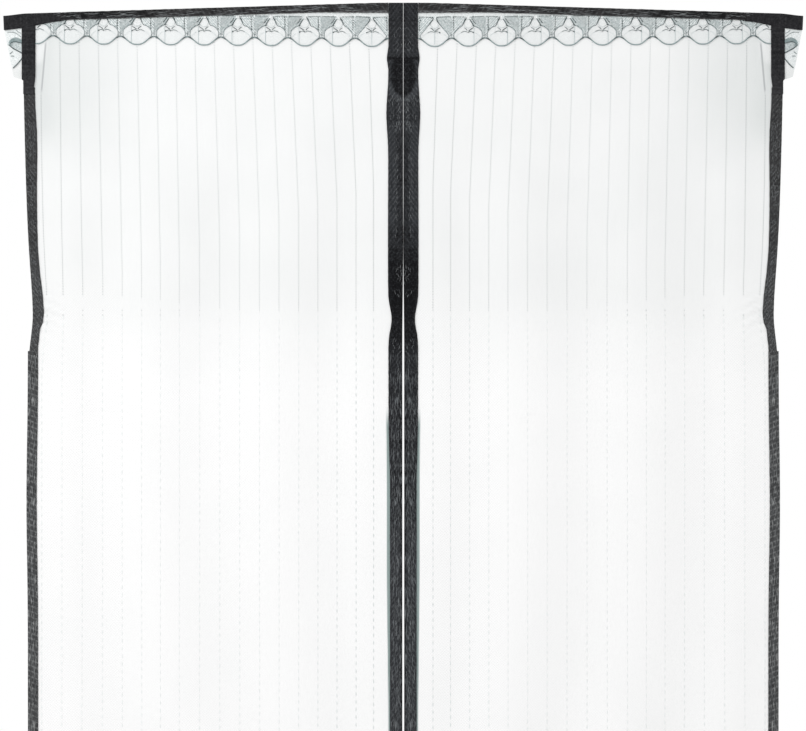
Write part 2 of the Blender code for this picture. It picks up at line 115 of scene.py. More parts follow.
# Ear outside the corner strap
EAR_BOTTOM = 2.0044
EAR_FOOT_INSET = 0.0130
EAR_FOOT_RISE = 0.0036
EAR_SIDE_INSET = 0.0016
EAR_LACE_LENGTH = 0.0395
# Lower edge of the lace in the ear: its rise beside the strap, its slope and its curve
EAR_LACE_RISE = 0.0012
EAR_LACE_SLOPE = 1.42
EAR_LACE_CURVE = 30
EAR_ROWS = 15  # rows of the net in the ear

# Side binding
BINDING_LEAN = 0.0059
PINCH_HEIGHT = 1.713
PINCH_DEPTH = 0.0069
PINCH_ABOVE = 0.082
PINCH_BELOW = 0.030
UPPER_BINDING_WIDTHS = [
    (1.665, 0.0106), (1.692, 0.0103), (1.700, 0.0128), (1.712, 0.0141), (1.741, 0.0132),
    (1.760, 0.0120), (1.790, 0.0114), (1.816, 0.0120), (1.866, 0.0134), (1.916, 0.0154),
    (1.941, 0.0154), (1.972, 0.0142),
]
BOW_HEIGHT = 1.479
BOW_DEPTH = 0.0018
BOW_SPREAD = 0.070

# Centre band
BAND_WIDTH = 0.0184
SLIT_GAP = 0.00017
SLIT_CLOSED_GAP = 0.00001
SLIT_LOWER_GAP = 0.0011
SLIT_CLOSED_HEIGHT = 1.803
SLIT_CLOSED_SPREAD = 0.024
SLIT_OPENING_LENGTH = 0.145
SEAM_HEIGHT = 2.031
SEAM_SWELL = 0.0020
SEAM_SPREAD = 0.007
SWELL_HEIGHT = 1.962
SWELL = 0.0026
SWELL_SPREAD = 0.022
BAND_PINCH_HEIGHT = 1.705
BAND_PINCH_DEPTH = 0.0042
BAND_PINCH_SPREAD = 0.013
BAND_FULLNESS = 0.0007
BAND_FULLNESS_HEIGHT = 1.800
BAND_FULLNESS_SPREAD = 0.090
BAND_NARROWING = 0.0018
BAND_NARROWING_LENGTH = 0.100
SELVEDGE_TOP = 1.590
SELVEDGE_WIDTH = 0.0030
SELVEDGE_WIDENING = 0.0012
SELVEDGE_NARROWING = 0.0016
ROUGH_TOP = 1.665  # below this height the band is covered with long fibres
CHANNEL_WIDTH = 0.0084  # from the fold to the seam of the magnet channel
CHANNEL_TOP = 1.945  # between these heights the seam of the channel is seen
CHANNEL_BOTTOM = 1.80
PLAIN_STRIP_WIDTH = 0.0027  # of the dark strip beside the slit, in the lower part of the band
PLAIN_STRIP_TOP = 1.57
BULGE_MIDDLE = 0.0084  # of the cloth over a magnet, from the slit
BULGE_HALF_WIDTH = 0.0070
BULGE_HALF_LENGTH = 0.0225
BULGE_DEPTH = 0.00045

# Dark smooth patch over the top magnet, from the slit outwards
OVAL_MIDDLE = 2.011
OVAL_WIDTH = 0.0158
OVAL_ABOVE = 0.022
OVAL_BELOW = 0.0275

# Stripes of the net. Under the header they are evenly spaced, lower down they are not quite.
STRIPE_COUNT = 18
STRIPE_PITCH = 0.0244
FIRST_STRIPE = 0.0371
# How far a stripe lies from its even place towards the slit, as (number, distance)
STRIPE_SHIFTS = [
    (0, 0.0), (1, 0.0024), (4, 0.0040), (6, 0.0038), (10, 0.0013), (12, 0.0029), (14, 0.0022),
    (17, 0.0),
]
STRIPE_TOP_PITCH = 0.02415
FIRST_STRIPE_AT_TOP = 0.0430
STRIPE_SPREAD_TOP = 2.045
STRIPE_SPREAD_LENGTH = 0.315
DOT_PITCH = 0.0033
DASH_PITCH = 0.0096
DOTS_END = 1.716
CREASED_STRIPE_TOP = 1.988  # of the outermost stripe, which starts under the fold beside the strap

# Slanting fold in the net beside the corner strap, by its distance from the slit
CREASE_TOP = 2.0512
CREASE_BOTTOM = 1.9890
CREASE_HEAD = 0.4466
CREASE_FOOT = 0.4522
CREASE_DEPTH = 0.0011
CREASE_SPREAD = 0.0016

# Puckers of the net beside the pinch
PUCKER_DEPTH = 0.0016
PUCKER_LENGTH = 0.013

# Grey of the net: below the pinch, its rise above it, and what corner, strap and doubled top change
NET_GREY = 0.02
NET_GREY_RISE = 0.27
CORNER_GREY = 0.45
STRAP_GREY = 0.20
DOUBLED_TOP_GREY = -0.38

# Waves of the hanging net
WAVE_DEPTH = 0.0030
WAVE_LENGTH = 0.150
WAVE_LEAN = 0.3
WAVE_TOP = 2.030
WAVE_FADE_HEIGHT = 0.25
WAVE_FADE_WIDTH = 0.060
WAVE_MARGIN = 0.004

# Lace
LACE_START = 0.0140
# y of the threads in front of the lace's net
THREAD_DEPTH = -0.00130
KNOT_DEPTH = -0.00125
HATCHING_DEPTH = -0.00122
CORD_DEPTH = -0.00120
SCALLOP_PITCH = 0.0419
SCALLOP_DEPTH = 0.0101
SCALLOP_CURVE = 2.8
FIRST_SCALLOP = 0.03935
LACE_BOTTOM = 2.0450
LACE_RISE = 0.0086
LACE_TOP_LINE = 0.0377  # of the dotted line along the top of the dense net
PALE_FOOT = 0.0150  # up to here the net between two petals is as pale as in them

# The lace's petals. Heights are above the lowest point of their scallop.
PETAL_MIDDLE = 0.0144
PETAL_RISE = 0.0113
PETAL_HALF_WIDTH = 0.0174
PETAL_HALF_WIDTH_TO_SLIT = 0.0182
PETAL_SLOPE_AT_BAND = 1.22
NECK_HEIGHT = 0.0331
NECK_HALF_WIDTH = 0.0023  # on the outer side of a petal
NECK_SLOPE = 1.5
NECK_HALF_WIDTH_TO_SLIT = 0.0041
NECK_SLOPE_TO_SLIT = 2.1
PETAL_FULLNESS = 2.6
STEM_OFFSET = 0.0040  # of the dotted stem, outwards from the middle of the dense net
STEM_OFFSET_AT_BAND = 0.0026
SPRIG_RISE = 0.0181
SPRIG_RISE_AT_BAND = 0.0186
VEIN_OFFSET = 0.0071  # of the upright thread through a petal, outwards from its middle

# View
PHOTO_WIDTH = 1.0075  # real width that the frame shows at the screen
VIEW_HEIGHT = 1.6469
LENS = 100.0
SENSOR = 36.0


def smooth_step(value):
    t = np.clip(value, 0.0, 1.0)
    return t * t * (3 - 2 * t)


def rising(value, start, length):
    """0 to 1 as the value goes up from start over the length."""
    return smooth_step((value - start) / length)


def falling(value, start, length):
    """0 to 1 as the value goes down from start over the length."""
    return smooth_step((start - value) / length)


def stepped(parts, end):
    """Rows over several stretches (start, end, step), and a last row at the end."""
    return np.concatenate([np.arange(*part) for part in parts] + [[end]])


def bell(offset, spread):
    return np.exp(-0.5 * (offset / spread) ** 2)


def blend(low, high, share):
    return low + (high - low) * share


def ripple(place, wavelength, seed):
    """Smooth and repeatable unevenness between -1 and 1."""
    chance = random.Random(seed)
    total = 0.0
    for step in range(5):
        length = wavelength * chance.uniform(0.55, 1.7) / (1 + 0.35 * step)
        total = total + np.sin(math.tau * (place / length + chance.random()))
    return total / 5


def header_top(u):
    droop = TAB_DROOP * smooth_step(1 - (HALF_WIDTH - u) / TAB_DROOP_LENGTH)
    fall_share = np.maximum(0.0, u - HEADER_LEVEL_LENGTH) / (HALF_WIDTH - HEADER_LEVEL_LENGTH)
    return SCREEN_HEIGHT - HEADER_FALL * fall_share - droop


def header_bottom(u):
    from_tab_start = u - (HALF_WIDTH - TAB_LENGTH)
    tab = blend(TAB_INNER_HEIGHT, TAB_HEIGHT, smooth_step(from_tab_start / TAB_WIDENING))
    tape = HEADER_HEIGHT + HEADER_FLARE * (1 - rising(u, BAND_WIDTH, HEADER_FLARE_LENGTH))
    return header_top(u) - np.where(from_tab_start > 0, tab, tape)


# Underside of the end tab beside the corner strap
EAR_LEVEL = float(header_bottom(STRAP_OUTER))


def ear_share(u):
    """0 to 1 across the corner strap and 1 in the ear."""
    return rising(u, STRAP_INNER, STRAP_OUTER - STRAP_INNER)


def pinch(z):
    above = 1 / (1 + ((z - PINCH_HEIGHT) / PINCH_ABOVE) ** 2)
    return np.where(z > PINCH_HEIGHT, above, bell(z - PINCH_HEIGHT, PINCH_BELOW))


def side_fold(z):
    """Distance from the slit to the outer fold of the upper side binding."""
    lean = BINDING_LEAN * np.maximum(0.0, z - BINDING_JOINT) / (BINDING_TOP - BINDING_JOINT)
    return HALF_BODY + lean - PINCH_DEPTH * pinch(z)


def upper_binding_width(z):
    heights, widths = zip(*UPPER_BINDING_WIDTHS)
    return np.interp(z, heights, widths)


def lower_fold(z):
    return HALF_BODY + BOW_DEPTH * bell(z - BOW_HEIGHT, BOW_SPREAD)


def slit_half_gap(z):
    below = SLIT_CLOSED_HEIGHT - z
    lower = blend(SLIT_CLOSED_GAP, SLIT_LOWER_GAP, smooth_step(below / SLIT_OPENING_LENGTH))
    upper = blend(SLIT_GAP, SLIT_CLOSED_GAP, bell(below, SLIT_CLOSED_SPREAD))
    return np.where(below > 0, lower, upper)


def band_edge(z):
    width = BAND_WIDTH + SEAM_SWELL * bell(z - SEAM_HEIGHT, SEAM_SPREAD)
    width = width + SWELL * bell(z - SWELL_HEIGHT, SWELL_SPREAD)
    width = width + BAND_FULLNESS * bell(z - BAND_FULLNESS_HEIGHT, BAND_FULLNESS_SPREAD)
    width = width - BAND_PINCH_DEPTH * bell(z - BAND_PINCH_HEIGHT, BAND_PINCH_SPREAD)
    return width - BAND_NARROWING * falling(z, SELVEDGE_TOP, BAND_NARROWING_LENGTH)


def magnet_bulge(u, z):
    """0 to 1 over the cloth that a magnet lifts, with round ends."""
    total = 0.0
    for centre in MAGNET_CENTRES:
        reach = ((u - BULGE_MIDDLE) / BULGE_HALF_WIDTH) ** 2 + (np.abs(z - centre) / BULGE_HALF_LENGTH) ** 2.6
        total = total + smooth_step((1.25 - reach) / 0.6)
    return total


def scallop_phase(u):
    turns = (u - FIRST_SCALLOP) / SCALLOP_PITCH
    return turns - np.floor(turns + 0.5)


def scallop_bottom(u):
    return LACE_BOTTOM + LACE_RISE * (u - FIRST_SCALLOP)


def scallop_edge(u):
    return scallop_bottom(u) + SCALLOP_DEPTH * np.sin(math.pi * np.abs(scallop_phase(u))) ** SCALLOP_CURVE


def ear_lace_edge(u):
    out = u - STRAP_OUTER
    slant = out * (EAR_LACE_SLOPE - EAR_LACE_CURVE * out)
    edge = EAR_LEVEL - EAR_LACE_LENGTH + EAR_LACE_RISE - slant
    rim_share = (u - (HALF_WIDTH - EAR_FOOT_INSET)) / (EAR_FOOT_INSET - EAR_SIDE_INSET)
    rim = blend(EAR_BOTTOM + EAR_FOOT_RISE, header_bottom(HALF_WIDTH), np.maximum(0.0, rim_share))
    return np.maximum(edge, rim)


def lace_bottom(u):
    return blend(scallop_edge(u), ear_lace_edge(u), ear_share(u))


def beside_band(u):
    """1 over the innermost scallop, 0 over the others."""
    return 1 - smooth_step((u - FIRST_SCALLOP) / SCALLOP_PITCH - 0.2)


def petal_edge(u):
    """Height of the outline between the open petals and the dense net between them.

    A petal is round with a narrow neck. The innermost one has straighter sides.
    """
    outwards = scallop_phase(u) * SCALLOP_PITCH
    off = np.abs(outwards)
    half_width = np.where(outwards > 0, PETAL_HALF_WIDTH, PETAL_HALF_WIDTH_TO_SLIT)
    inside = np.maximum(0.0, 1 - (off / half_width) ** PETAL_FULLNESS)
    dome = PETAL_RISE * inside ** (1 / PETAL_FULLNESS)
    outer_neck = NECK_SLOPE * (NECK_HALF_WIDTH - off)
    inner_neck = NECK_SLOPE_TO_SLIT * (NECK_HALF_WIDTH_TO_SLIT - off)
    neck = NECK_HEIGHT - PETAL_MIDDLE + np.where(outwards > 0, outer_neck, inner_neck)
    straight = PETAL_SLOPE_AT_BAND * np.maximum(0.0, half_width - off)
    rise = blend(np.maximum(dome, neck), straight, beside_band(u))
    foot = np.where(off > half_width, scallop_edge(u) + 0.0012, scallop_bottom(u) + PETAL_MIDDLE)
    return foot + np.where(off > half_width, 0.0, rise)


def cloth_top(u):
    return header_top(u) - EDGE_INSET


def wave(u, z):
    """How far the net stands off its plane."""
    fade = falling(z, WAVE_TOP, WAVE_FADE_HEIGHT)
    fade = fade * rising(z, HEM_HEIGHT, WAVE_FADE_HEIGHT)
    fade = fade * smooth_step((u - BAND_WIDTH - WAVE_MARGIN) / WAVE_FADE_WIDTH)
    outer = HALF_BODY - BINDING_WIDTH - PINCH_DEPTH - WAVE_MARGIN
    fade = fade * falling(u, outer, WAVE_FADE_WIDTH)
    turns = u / WAVE_LENGTH + WAVE_LEAN * np.sin(math.tau * z / SCREEN_HEIGHT)
    return WAVE_DEPTH * fade * np.sin(math.tau * turns)


def stripe_course(number, z):
    """Distance of a stripe from the slit: spread under the header, pulled inwards at the pinch."""
    numbers, shifts = zip(*STRIPE_SHIFTS)
    low = FIRST_STRIPE + STRIPE_PITCH * number - np.interp(number, numbers, shifts)
    top = FIRST_STRIPE_AT_TOP + STRIPE_TOP_PITCH * number
    settling = STRIPE_SPREAD_LENGTH * blend(0.55, 1.0, number / (STRIPE_COUNT - 1))
    fallen = np.clip((STRIPE_SPREAD_TOP - z) / settling, 0, 1)
    from_edge = HALF_BODY - BINDING_WIDTH - low
    near = 0.8 * bell(from_edge, 0.014) + 0.2 * bell(from_edge, 0.060)
    return blend(top, low, fallen) - PINCH_DEPTH * pinch(z) * near


# Colours are written as the sRGB codes that a colour picker shows.
def colour(code):
    channels = [int(code[start : start + 2], 16) / 255 for start in (0, 2, 4)]
    linear = [c / 12.92 if c <= 0.04045 else ((c + 0.055) / 1.055) ** 2.4 for c in channels]
    return (*linear, 1.0)


def node(tree, kind, wired=None, **settings):
    """Add a node. wired gives its inputs, as values or as the sockets they come from."""
    made = tree.nodes.new(kind)
    for key, value in settings.items():
        setattr(made, key, value)
    for key, value in (wired or {}).items():
        if isinstance(value, bpy.types.NodeSocket):
            tree.links.new(value, made.inputs[key])
        else:
            made.inputs[key].default_value = value
    return made


def maths(tree, operation, *values):
    return node(tree, "ShaderNodeMath", dict(enumerate(values)), operation=operation).outputs[0]


def times(tree, first, second):
    return maths(tree, "MULTIPLY", first, second)


def varied(tree, value, noise, strength):
    """The value made uneven by a noise that lies around 0.5."""
    return maths(tree, "MULTIPLY_ADD", maths(tree, "SUBTRACT", noise, 0.5), strength, value)


def ranged(tree, value, low, high, to_low=0.0, to_high=1.0):
    """Smoothly 0 to 1 where the value runs from low to high."""
    made = node(
        tree, "ShaderNodeMapRange",
        {"Value": value, "From Min": low, "From Max": high, "To Min": to_low, "To Max": to_high},
        interpolation_type="SMOOTHSTEP",
    )
    return made.outputs["Result"]


def mixed(tree, share, first, second):
    made = node(tree, "ShaderNodeMix", {0: share, 6: first, 7: second}, data_type="RGBA")
    return made.outputs[2]


def effect_group(name, inputs, outputs):
    """A shader node group with an input for each named size. Returns tree, inputs, result."""
    tree = bpy.data.node_groups.new(name, "ShaderNodeTree")
    tree.interface.new_socket("Vector", in_out="INPUT", socket_type="NodeSocketVector")
    for label, value in inputs.items():
        made = tree.interface.new_socket(label, in_out="INPUT", socket_type="NodeSocketFloat")
        made.default_value = value
    for label in outputs:
        tree.interface.new_socket(label, in_out="OUTPUT", socket_type="NodeSocketFloat")
    given = tree.nodes.new("NodeGroupInput")
    result = tree.nodes.new("NodeGroupOutput")
    return tree, given.outputs, result.inputs


def weave_effect():
    """Threads that go over and under each other. Lean shears them into a twill."""
    tree, given, result = effect_group(
        "woven_threads", {"Across": 0.0008, "Along": 0.0008, "Lean": 0.0}, ["Height"]
    )
    split = node(tree, "ShaderNodeSeparateXYZ", {0: given["Vector"]}).outputs
    across = maths(tree, "DIVIDE", split["X"], given["Across"])
    along = maths(tree, "DIVIDE", split["Y"], given["Along"])
    leaned = maths(tree, "MULTIPLY_ADD", across, given["Lean"], along)
    warp = maths(tree, "SINE", times(tree, across, math.pi))
    weft = maths(tree, "SINE", times(tree, leaned, math.pi))
    both = times(tree, maths(tree, "MULTIPLY_ADD", warp, 0.3, 0.7), weft)
    tree.links.new(maths(tree, "MULTIPLY_ADD", both, 0.5, 0.5), result["Height"])
    return tree


def streak_effect():
    """Stray light fibres: long thin wavering streaks that cover a share of the surface."""
    tree, given, result = effect_group(
        "fibre_streaks", {"Length": 0.012, "Width": 0.0008, "Waver": 0.001, "Share": 0.3}, ["Mask"]
    )
    split = node(tree, "ShaderNodeSeparateXYZ", {0: given["Vector"]}).outputs
    bend = node(tree, "ShaderNodeTexNoise", {"Vector": given["Vector"], "Scale": 70.0, "Detail": 1.0})
    moved = varied(tree, split["X"], bend.outputs["Fac"], given["Waver"])
    across = maths(tree, "DIVIDE", moved, given["Width"])
    along = maths(tree, "DIVIDE", split["Y"], given["Length"])
    stretched = node(tree, "ShaderNodeCombineXYZ", {0: across, 1: along, 2: 0.0})
    noise = node(tree, "ShaderNodeTexNoise", {"Vector": stretched.outputs[0], "Scale": 1.0, "Detail": 3.0})
    low = maths(tree, "SUBTRACT", 0.72, times(tree, given["Share"], 0.5))
    high = maths(tree, "ADD", low, 0.14)
    tree.links.new(ranged(tree, noise.outputs["Fac"], low, high), result["Mask"])
    return tree


def net_effect():
    """Diagonal mesh of fine threads: 1 on a thread, 0 in a hole."""
    tree, given, result = effect_group("net_mesh", {"Pitch": 0.002, "Thread": 0.35}, ["Thread"])
    split = node(tree, "ShaderNodeSeparateXYZ", {0: given["Vector"]}).outputs
    threads = []
    for operation in ("ADD", "SUBTRACT"):
        place = maths(tree, "DIVIDE", maths(tree, operation, split["X"], split["Y"]), given["Pitch"])
        there = maths(tree, "PINGPONG", place, 0.5)
        edge = times(tree, given["Thread"], 0.5)
        threads.append(ranged(tree, there, edge, times(tree, edge, 0.4)))
    tree.links.new(maths(tree, "MAXIMUM", *threads), result["Thread"])
    return tree


def mottle_effect():
    """Soft cloudy unevenness around 0.5."""
    tree, given, result = effect_group("mottle", {"Size": 0.01}, ["Value"])
    inverse = maths(tree, "DIVIDE", 1.0, given["Size"])
    noise = node(tree, "ShaderNodeTexNoise", {"Vector": given["Vector"], "Scale": inverse, "Detail": 3.0})
    tree.links.new(noise.outputs["Fac"], result["Value"])
    return tree


WEAVE = weave_effect()
STREAKS = streak_effect()
NET = net_effect()
MOTTLE = mottle_effect()


def placed_effect(tree, effect, vector, **sizes):
    made = tree.nodes.new("ShaderNodeGroup")
    made.node_tree = effect
    tree.links.new(vector, made.inputs["Vector"])
    for label, value in sizes.items():
        made.inputs[label].default_value = value
    return made.outputs[0]


def new_finish(name, roughness, metallic=0.0):
    """A material with an empty board. Returns material, tree and the shader's inputs."""
    made = bpy.data.materials.new(name)
    made.use_nodes = True
    tree = made.node_tree
    shader = tree.nodes["Principled BSDF"]
    shader.inputs["Roughness"].default_value = roughness
    shader.inputs["Metallic"].default_value = metallic
    return made, tree, shader.inputs


def flat_map(tree):
    """The cloth's own map, in metres across and along."""
    return node(tree, "ShaderNodeUVMap", uv_map="cloth").outputs[0]


def painted(tree, name):
    return node(tree, "ShaderNodeAttribute", attribute_name=name).outputs["Fac"]


def bumped(tree, shader, height, strength, distance):
    made = node(tree, "ShaderNodeBump", {"Height": height, "Strength": strength, "Distance": distance})
    tree.links.new(made.outputs[0], shader["Normal"])


def tape_finish(name, dark, base, light, streaks, twill, grain=1.0, roughness=0.8):
    """Black tape. The cloth's tone runs from dark to base, light is the colour of its raised fibres."""
    made, tree, shader = new_finish(name, roughness)
    cloth = flat_map(tree)
    weave = placed_effect(tree, WEAVE, cloth, Across=0.0026, Along=0.0034, Lean=twill)
    fibres = placed_effect(tree, STREAKS, cloth, **streaks)
    clouds = placed_effect(tree, MOTTLE, cloth, Size=0.006)
    specks = placed_effect(tree, MOTTLE, cloth, Size=0.0022)
    tone = varied(tree, varied(tree, painted(tree, "tone"), clouds, 0.7), specks, grain)
    ground = mixed(tree, tone, colour(dark), colour(base))
    raised = times(tree, ranged(tree, weave, 0.55, 1.0), times(tree, tone, 0.32))
    cloth_colour = mixed(tree, raised, ground, colour(light))
    lit = times(tree, fibres, painted(tree, "streaks"))
    tree.links.new(mixed(tree, lit, cloth_colour, colour(light)), shader["Base Color"])
    height = maths(tree, "MULTIPLY_ADD", fibres, 0.8, weave)
    bumped(tree, shader, height, 0.5, 0.0002)
    shader["Sheen Weight"].default_value = 0.03
    shader["Sheen Roughness"].default_value = 0.5
    shader["Specular IOR Level"].default_value = 0.06
    return made


def crease_mask(tree, cloth):
    """The slanting fold line in the net and the doubled net outside it, as two shares. The line is painted
    shade of the fold together with the denser doubled net.
    """
    split = node(tree, "ShaderNodeSeparateXYZ", {0: cloth}).outputs
    lean = (CREASE_FOOT - CREASE_HEAD) / (CREASE_TOP - CREASE_BOTTOM)
    at_top = CREASE_HEAD + lean * CREASE_TOP
    from_line = maths(tree, "SUBTRACT", maths(tree, "MULTIPLY_ADD", split["Y"], lean, split["X"]), at_top)
    below = ranged(tree, split["Y"], CREASE_TOP + 0.004, CREASE_TOP - 0.004)
    above = ranged(tree, split["Y"], CREASE_BOTTOM - 0.003, CREASE_BOTTOM + 0.003)
    length = times(tree, below, above)
    line = times(tree, ranged(tree, maths(tree, "ABSOLUTE", from_line), 0.0016, 0.0007), length)
    lapped = times(tree, ranged(tree, from_line, 0.0, 0.0010), length)
    return line, times(tree, lapped, ranged(tree, split["Y"], 2.032, 2.010))


def net_finish():
    made, tree, shader = new_finish("white_net", 0.75)
    cloth = flat_map(tree)
    threads = placed_effect(tree, NET, cloth, Pitch=0.0019, Thread=0.5)
    clouds = placed_effect(tree, MOTTLE, cloth, Size=0.09)
    line, lapped = crease_mask(tree, cloth)
    shade = varied(tree, painted(tree, "shade"), clouds, 0.25)
    shade = varied(tree, maths(tree, "MULTIPLY_ADD", lapped, 0.42, shade), threads, 0.10)
    ground = mixed(tree, shade, colour("F9F9F9"), colour("CDD2D1"))
    # Painted shade in the crease: the fold line is darkened, partly as doubled net and partly as the shade of
    # the fold
    ground = mixed(tree, times(tree, line, 0.8), ground, colour("AFB2B3"))
    selvedge = painted(tree, "selvedge")
    tree.links.new(mixed(tree, selvedge, ground, colour("8FA09E")), shader["Base Color"])
    open_share = blend_value(tree, threads, 0.45, 0.95)
    solid = maths(tree, "MAXIMUM", open_share, times(tree, selvedge, 0.97))
    solid = maths(tree, "MAXIMUM", solid, line)
    tree.links.new(solid, shader["Alpha"])
    bumped(tree, shader, threads, 0.3, 0.0002)
    shader["Specular IOR Level"].default_value = 0.2
    return made


def blend_value(tree, share, low, high):
    return maths(tree, "MULTIPLY_ADD", share, high - low, low)


def lace_finish():
    made, tree, shader = new_finish("lace_ground", 0.75)
    cloth = flat_map(tree)
    threads = placed_effect(tree, NET, cloth, Pitch=0.0012, Thread=0.5)
    clouds = placed_effect(tree, MOTTLE, cloth, Size=0.0022)
    dense = painted(tree, "closeness")
    patchy = ranged(tree, clouds, 0.35, 0.68)
    grey = mixed(tree, patchy, colour("F2F6F6"), colour("C2CCCC"))
    tree.links.new(mixed(tree, dense, colour("F2F5F5"), grey), shader["Base Color"])
    cover = blend_value(tree, threads, 0.30, 0.75)
    tree.links.new(maths(tree, "MULTIPLY_ADD", dense, 0.5, cover), shader["Alpha"])
    bumped(tree, shader, threads, 0.3, 0.0002)
    shader["Specular IOR Level"].default_value = 0.2
    return made


def thread_finish(name, light, dark):
    """Twisted thread, light to dark by the painted shade."""
    made, tree, shader = new_finish(name, 0.7)
    place = node(tree, "ShaderNodeTexCoord").outputs["Object"]
    clouds = placed_effect(tree, MOTTLE, place, Size=0.0015)
    shade = varied(tree, painted(tree, "shade"), clouds, 0.9)
    tree.links.new(mixed(tree, shade, colour(light), colour(dark)), shader["Base Color"])
    bumped(tree, shader, clouds, 0.4, 0.0002)
    shader["Specular IOR Level"].default_value = 0.25
    return made


def magnet_finish():
    made, tree, shader = new_finish("magnet_steel", 0.4, 0.85)
    place = node(tree, "ShaderNodeTexCoord").outputs["Object"]
    clouds = placed_effect(tree, MOTTLE, place, Size=0.004)
    tree.links.new(mixed(tree, clouds, colour("6A6A6C"), colour("8E8E92")), shader["Base Color"])
    tree.links.new(ranged(tree, clouds, 0.3, 0.7, 0.3, 0.55), shader["Roughness"])
    return made


# Turns (u, y, z) into the frame's x, y and z
FRAME_AXES = np.array([-1.0, 1.0, 1.0])


def linked(name, mesh):
    made = bpy.data.objects.new(name, mesh)
    bpy.context.scene.collection.objects.link(made)
    return made


def cloth_mesh(name, points, faces, surface, flat, paints):
    """points are (u, y, z). flat is the cloth's own map, paints are attributes by name."""
    mesh = bpy.data.meshes.new(name)
    placed = points * FRAME_AXES
    mesh.from_pydata(placed.tolist(), [], faces.tolist())
    mesh.materials.append(surface)
    corners = np.zeros(len(mesh.loops), np.int32)
    mesh.loops.foreach_get("vertex_index", corners)
    layer = mesh.uv_layers.new(name="cloth")
    layer.data.foreach_set("uv", flat[corners].astype(np.float32).ravel())
    for label, values in paints.items():
        paint = mesh.attributes.new(label, "FLOAT", "POINT")
        paint.data.foreach_set("value", np.broadcast_to(values, len(points)).astype(np.float32).ravel())
    mesh.shade_smooth()
    return mesh


def grid_faces(rows, columns):
    """Faces of a grid whose points are numbered row by row."""
    numbers = np.arange(rows * columns).reshape(rows, columns)
    return np.stack(
        [numbers[:-1, :-1], numbers[:-1, 1:], numbers[1:, 1:], numbers[1:, :-1]], axis=-1
    ).reshape(-1, 4)


def outward(points, faces):
    """The faces of a closed body for the left curtain, turned so that they point outwards."""
    corners = (points * FRAME_AXES)[faces]
    first = np.einsum("ij,ij->i", corners[:, 0], np.cross(corners[:, 1], corners[:, 2])).sum()
    second = np.einsum("ij,ij->i", corners[:, 0], np.cross(corners[:, 2], corners[:, 3])).sum()
    return faces if first + second > 0 else faces[:, ::-1]


def closed_cloth(name, outer, inner, flat, surface, paints):
    """A closed sheet between two grids of the same size, joined around the rim."""
    rows, columns = outer.shape[:2]
    count = rows * columns
    points = np.concatenate([outer.reshape(-1, 3), inner.reshape(-1, 3)])
    numbers = np.arange(count).reshape(rows, columns)
    rim = np.concatenate([numbers[0, :-1], numbers[:-1, -1], numbers[-1, :0:-1], numbers[:0:-1, 0]])
    following = np.roll(rim, -1)
    sheet = grid_faces(rows, columns)
    band = np.stack([following, rim, rim + count, following + count], axis=-1)
    faces = np.concatenate([sheet, sheet[:, ::-1] + count, band])
    both = np.concatenate([flat.reshape(-1, 2)] * 2)
    doubled = {}
    for label, values in paints.items():
        doubled[label] = np.concatenate([np.broadcast_to(values, (rows, columns)).ravel()] * 2)
    return linked(name, cloth_mesh(name, points, outward(points, faces), surface, both, doubled))


def folded_tape(name, surface, along, width, back_width, front_gap, back_gap, place, relief, paints, parts):
    """A tape folded over an edge.

    along is the row of places along the tape. width, back_width, front_gap and back_gap are functions of
    (across, along), relief is how far the cloth's outer face stands proud of its plies, and place turns
    (across, y, along) into (u, y, z). parts is the number of steps in front, around the fold and behind.
    """
    front_parts, fold_parts, back_parts = parts
    line = along[:, None]
    start = np.zeros_like(line)
    front = front_gap(start, line)
    back = back_gap(start, line)
    bend = FOLD_SHARE * (np.minimum(front, back) + TAPE_THICKNESS)
    shares = np.linspace(1, 0, front_parts + 1)[None, :]
    back_shares = np.linspace(0, 1, back_parts + 1)[None, :]
    turns = np.linspace(-math.pi / 2, math.pi / 2, fold_parts + 1)[1:-1][None, :]
    front_across = bend + (width(line) - bend) * shares
    back_across = bend + (back_width(line) - bend) * back_shares
    layers = []
    for thickness in (TAPE_THICKNESS, 0.0):
        lift = relief(front_across, line) if thickness else 0.0
        front_y = -(front_gap(front_across, line) + thickness + lift)
        back_y = back_gap(back_across, line) + thickness
        low = front_y[:, -1:]
        high = back_y[:, :1]
        inset = TAPE_THICKNESS - thickness
        fold_across = inset + (bend - inset) * (1 - np.cos(turns))
        fold_y = (high + low) / 2 + (high - low) / 2 * np.sin(turns)
        layers.append(
            (
                np.concatenate([front_across, fold_across, back_across], axis=1),
                np.concatenate([front_y, fold_y, back_y], axis=1),
            )
        )
    signed = np.concatenate([front_across, bend * -np.sin(turns) + 0 * line, -back_across], axis=1)
    whole = np.broadcast_to(line, signed.shape)
    outer, inner = [np.stack(place(across, y, whole), axis=-1) for across, y in layers]
    flat = np.stack([signed, whole], axis=-1)
    coats = {label: paint(signed, whole) for label, paint in paints.items()}
    return closed_cloth(name, outer, inner, flat, surface, coats)


def constant(value):
    return lambda across, along: value + 0 * across + 0 * along


def growing_tree(name, sizes):
    """A geometry tree with a named input for each size. Returns tree, inputs, result."""
    tree = bpy.data.node_groups.new(name, "GeometryNodeTree")
    tree.interface.new_socket("Geometry", in_out="INPUT", socket_type="NodeSocketGeometry")
    for label, value in sizes.items():
        kind = "NodeSocketInt" if isinstance(value, int) else "NodeSocketFloat"
        tree.interface.new_socket(label, in_out="INPUT", socket_type=kind).default_value = value
    tree.interface.new_socket("Material", in_out="INPUT", socket_type="NodeSocketMaterial")
    tree.interface.new_socket("Geometry", in_out="OUTPUT", socket_type="NodeSocketGeometry")
    given = tree.nodes.new("NodeGroupInput")
    result = tree.nodes.new("NodeGroupOutput")
    return tree, given.outputs, result.inputs


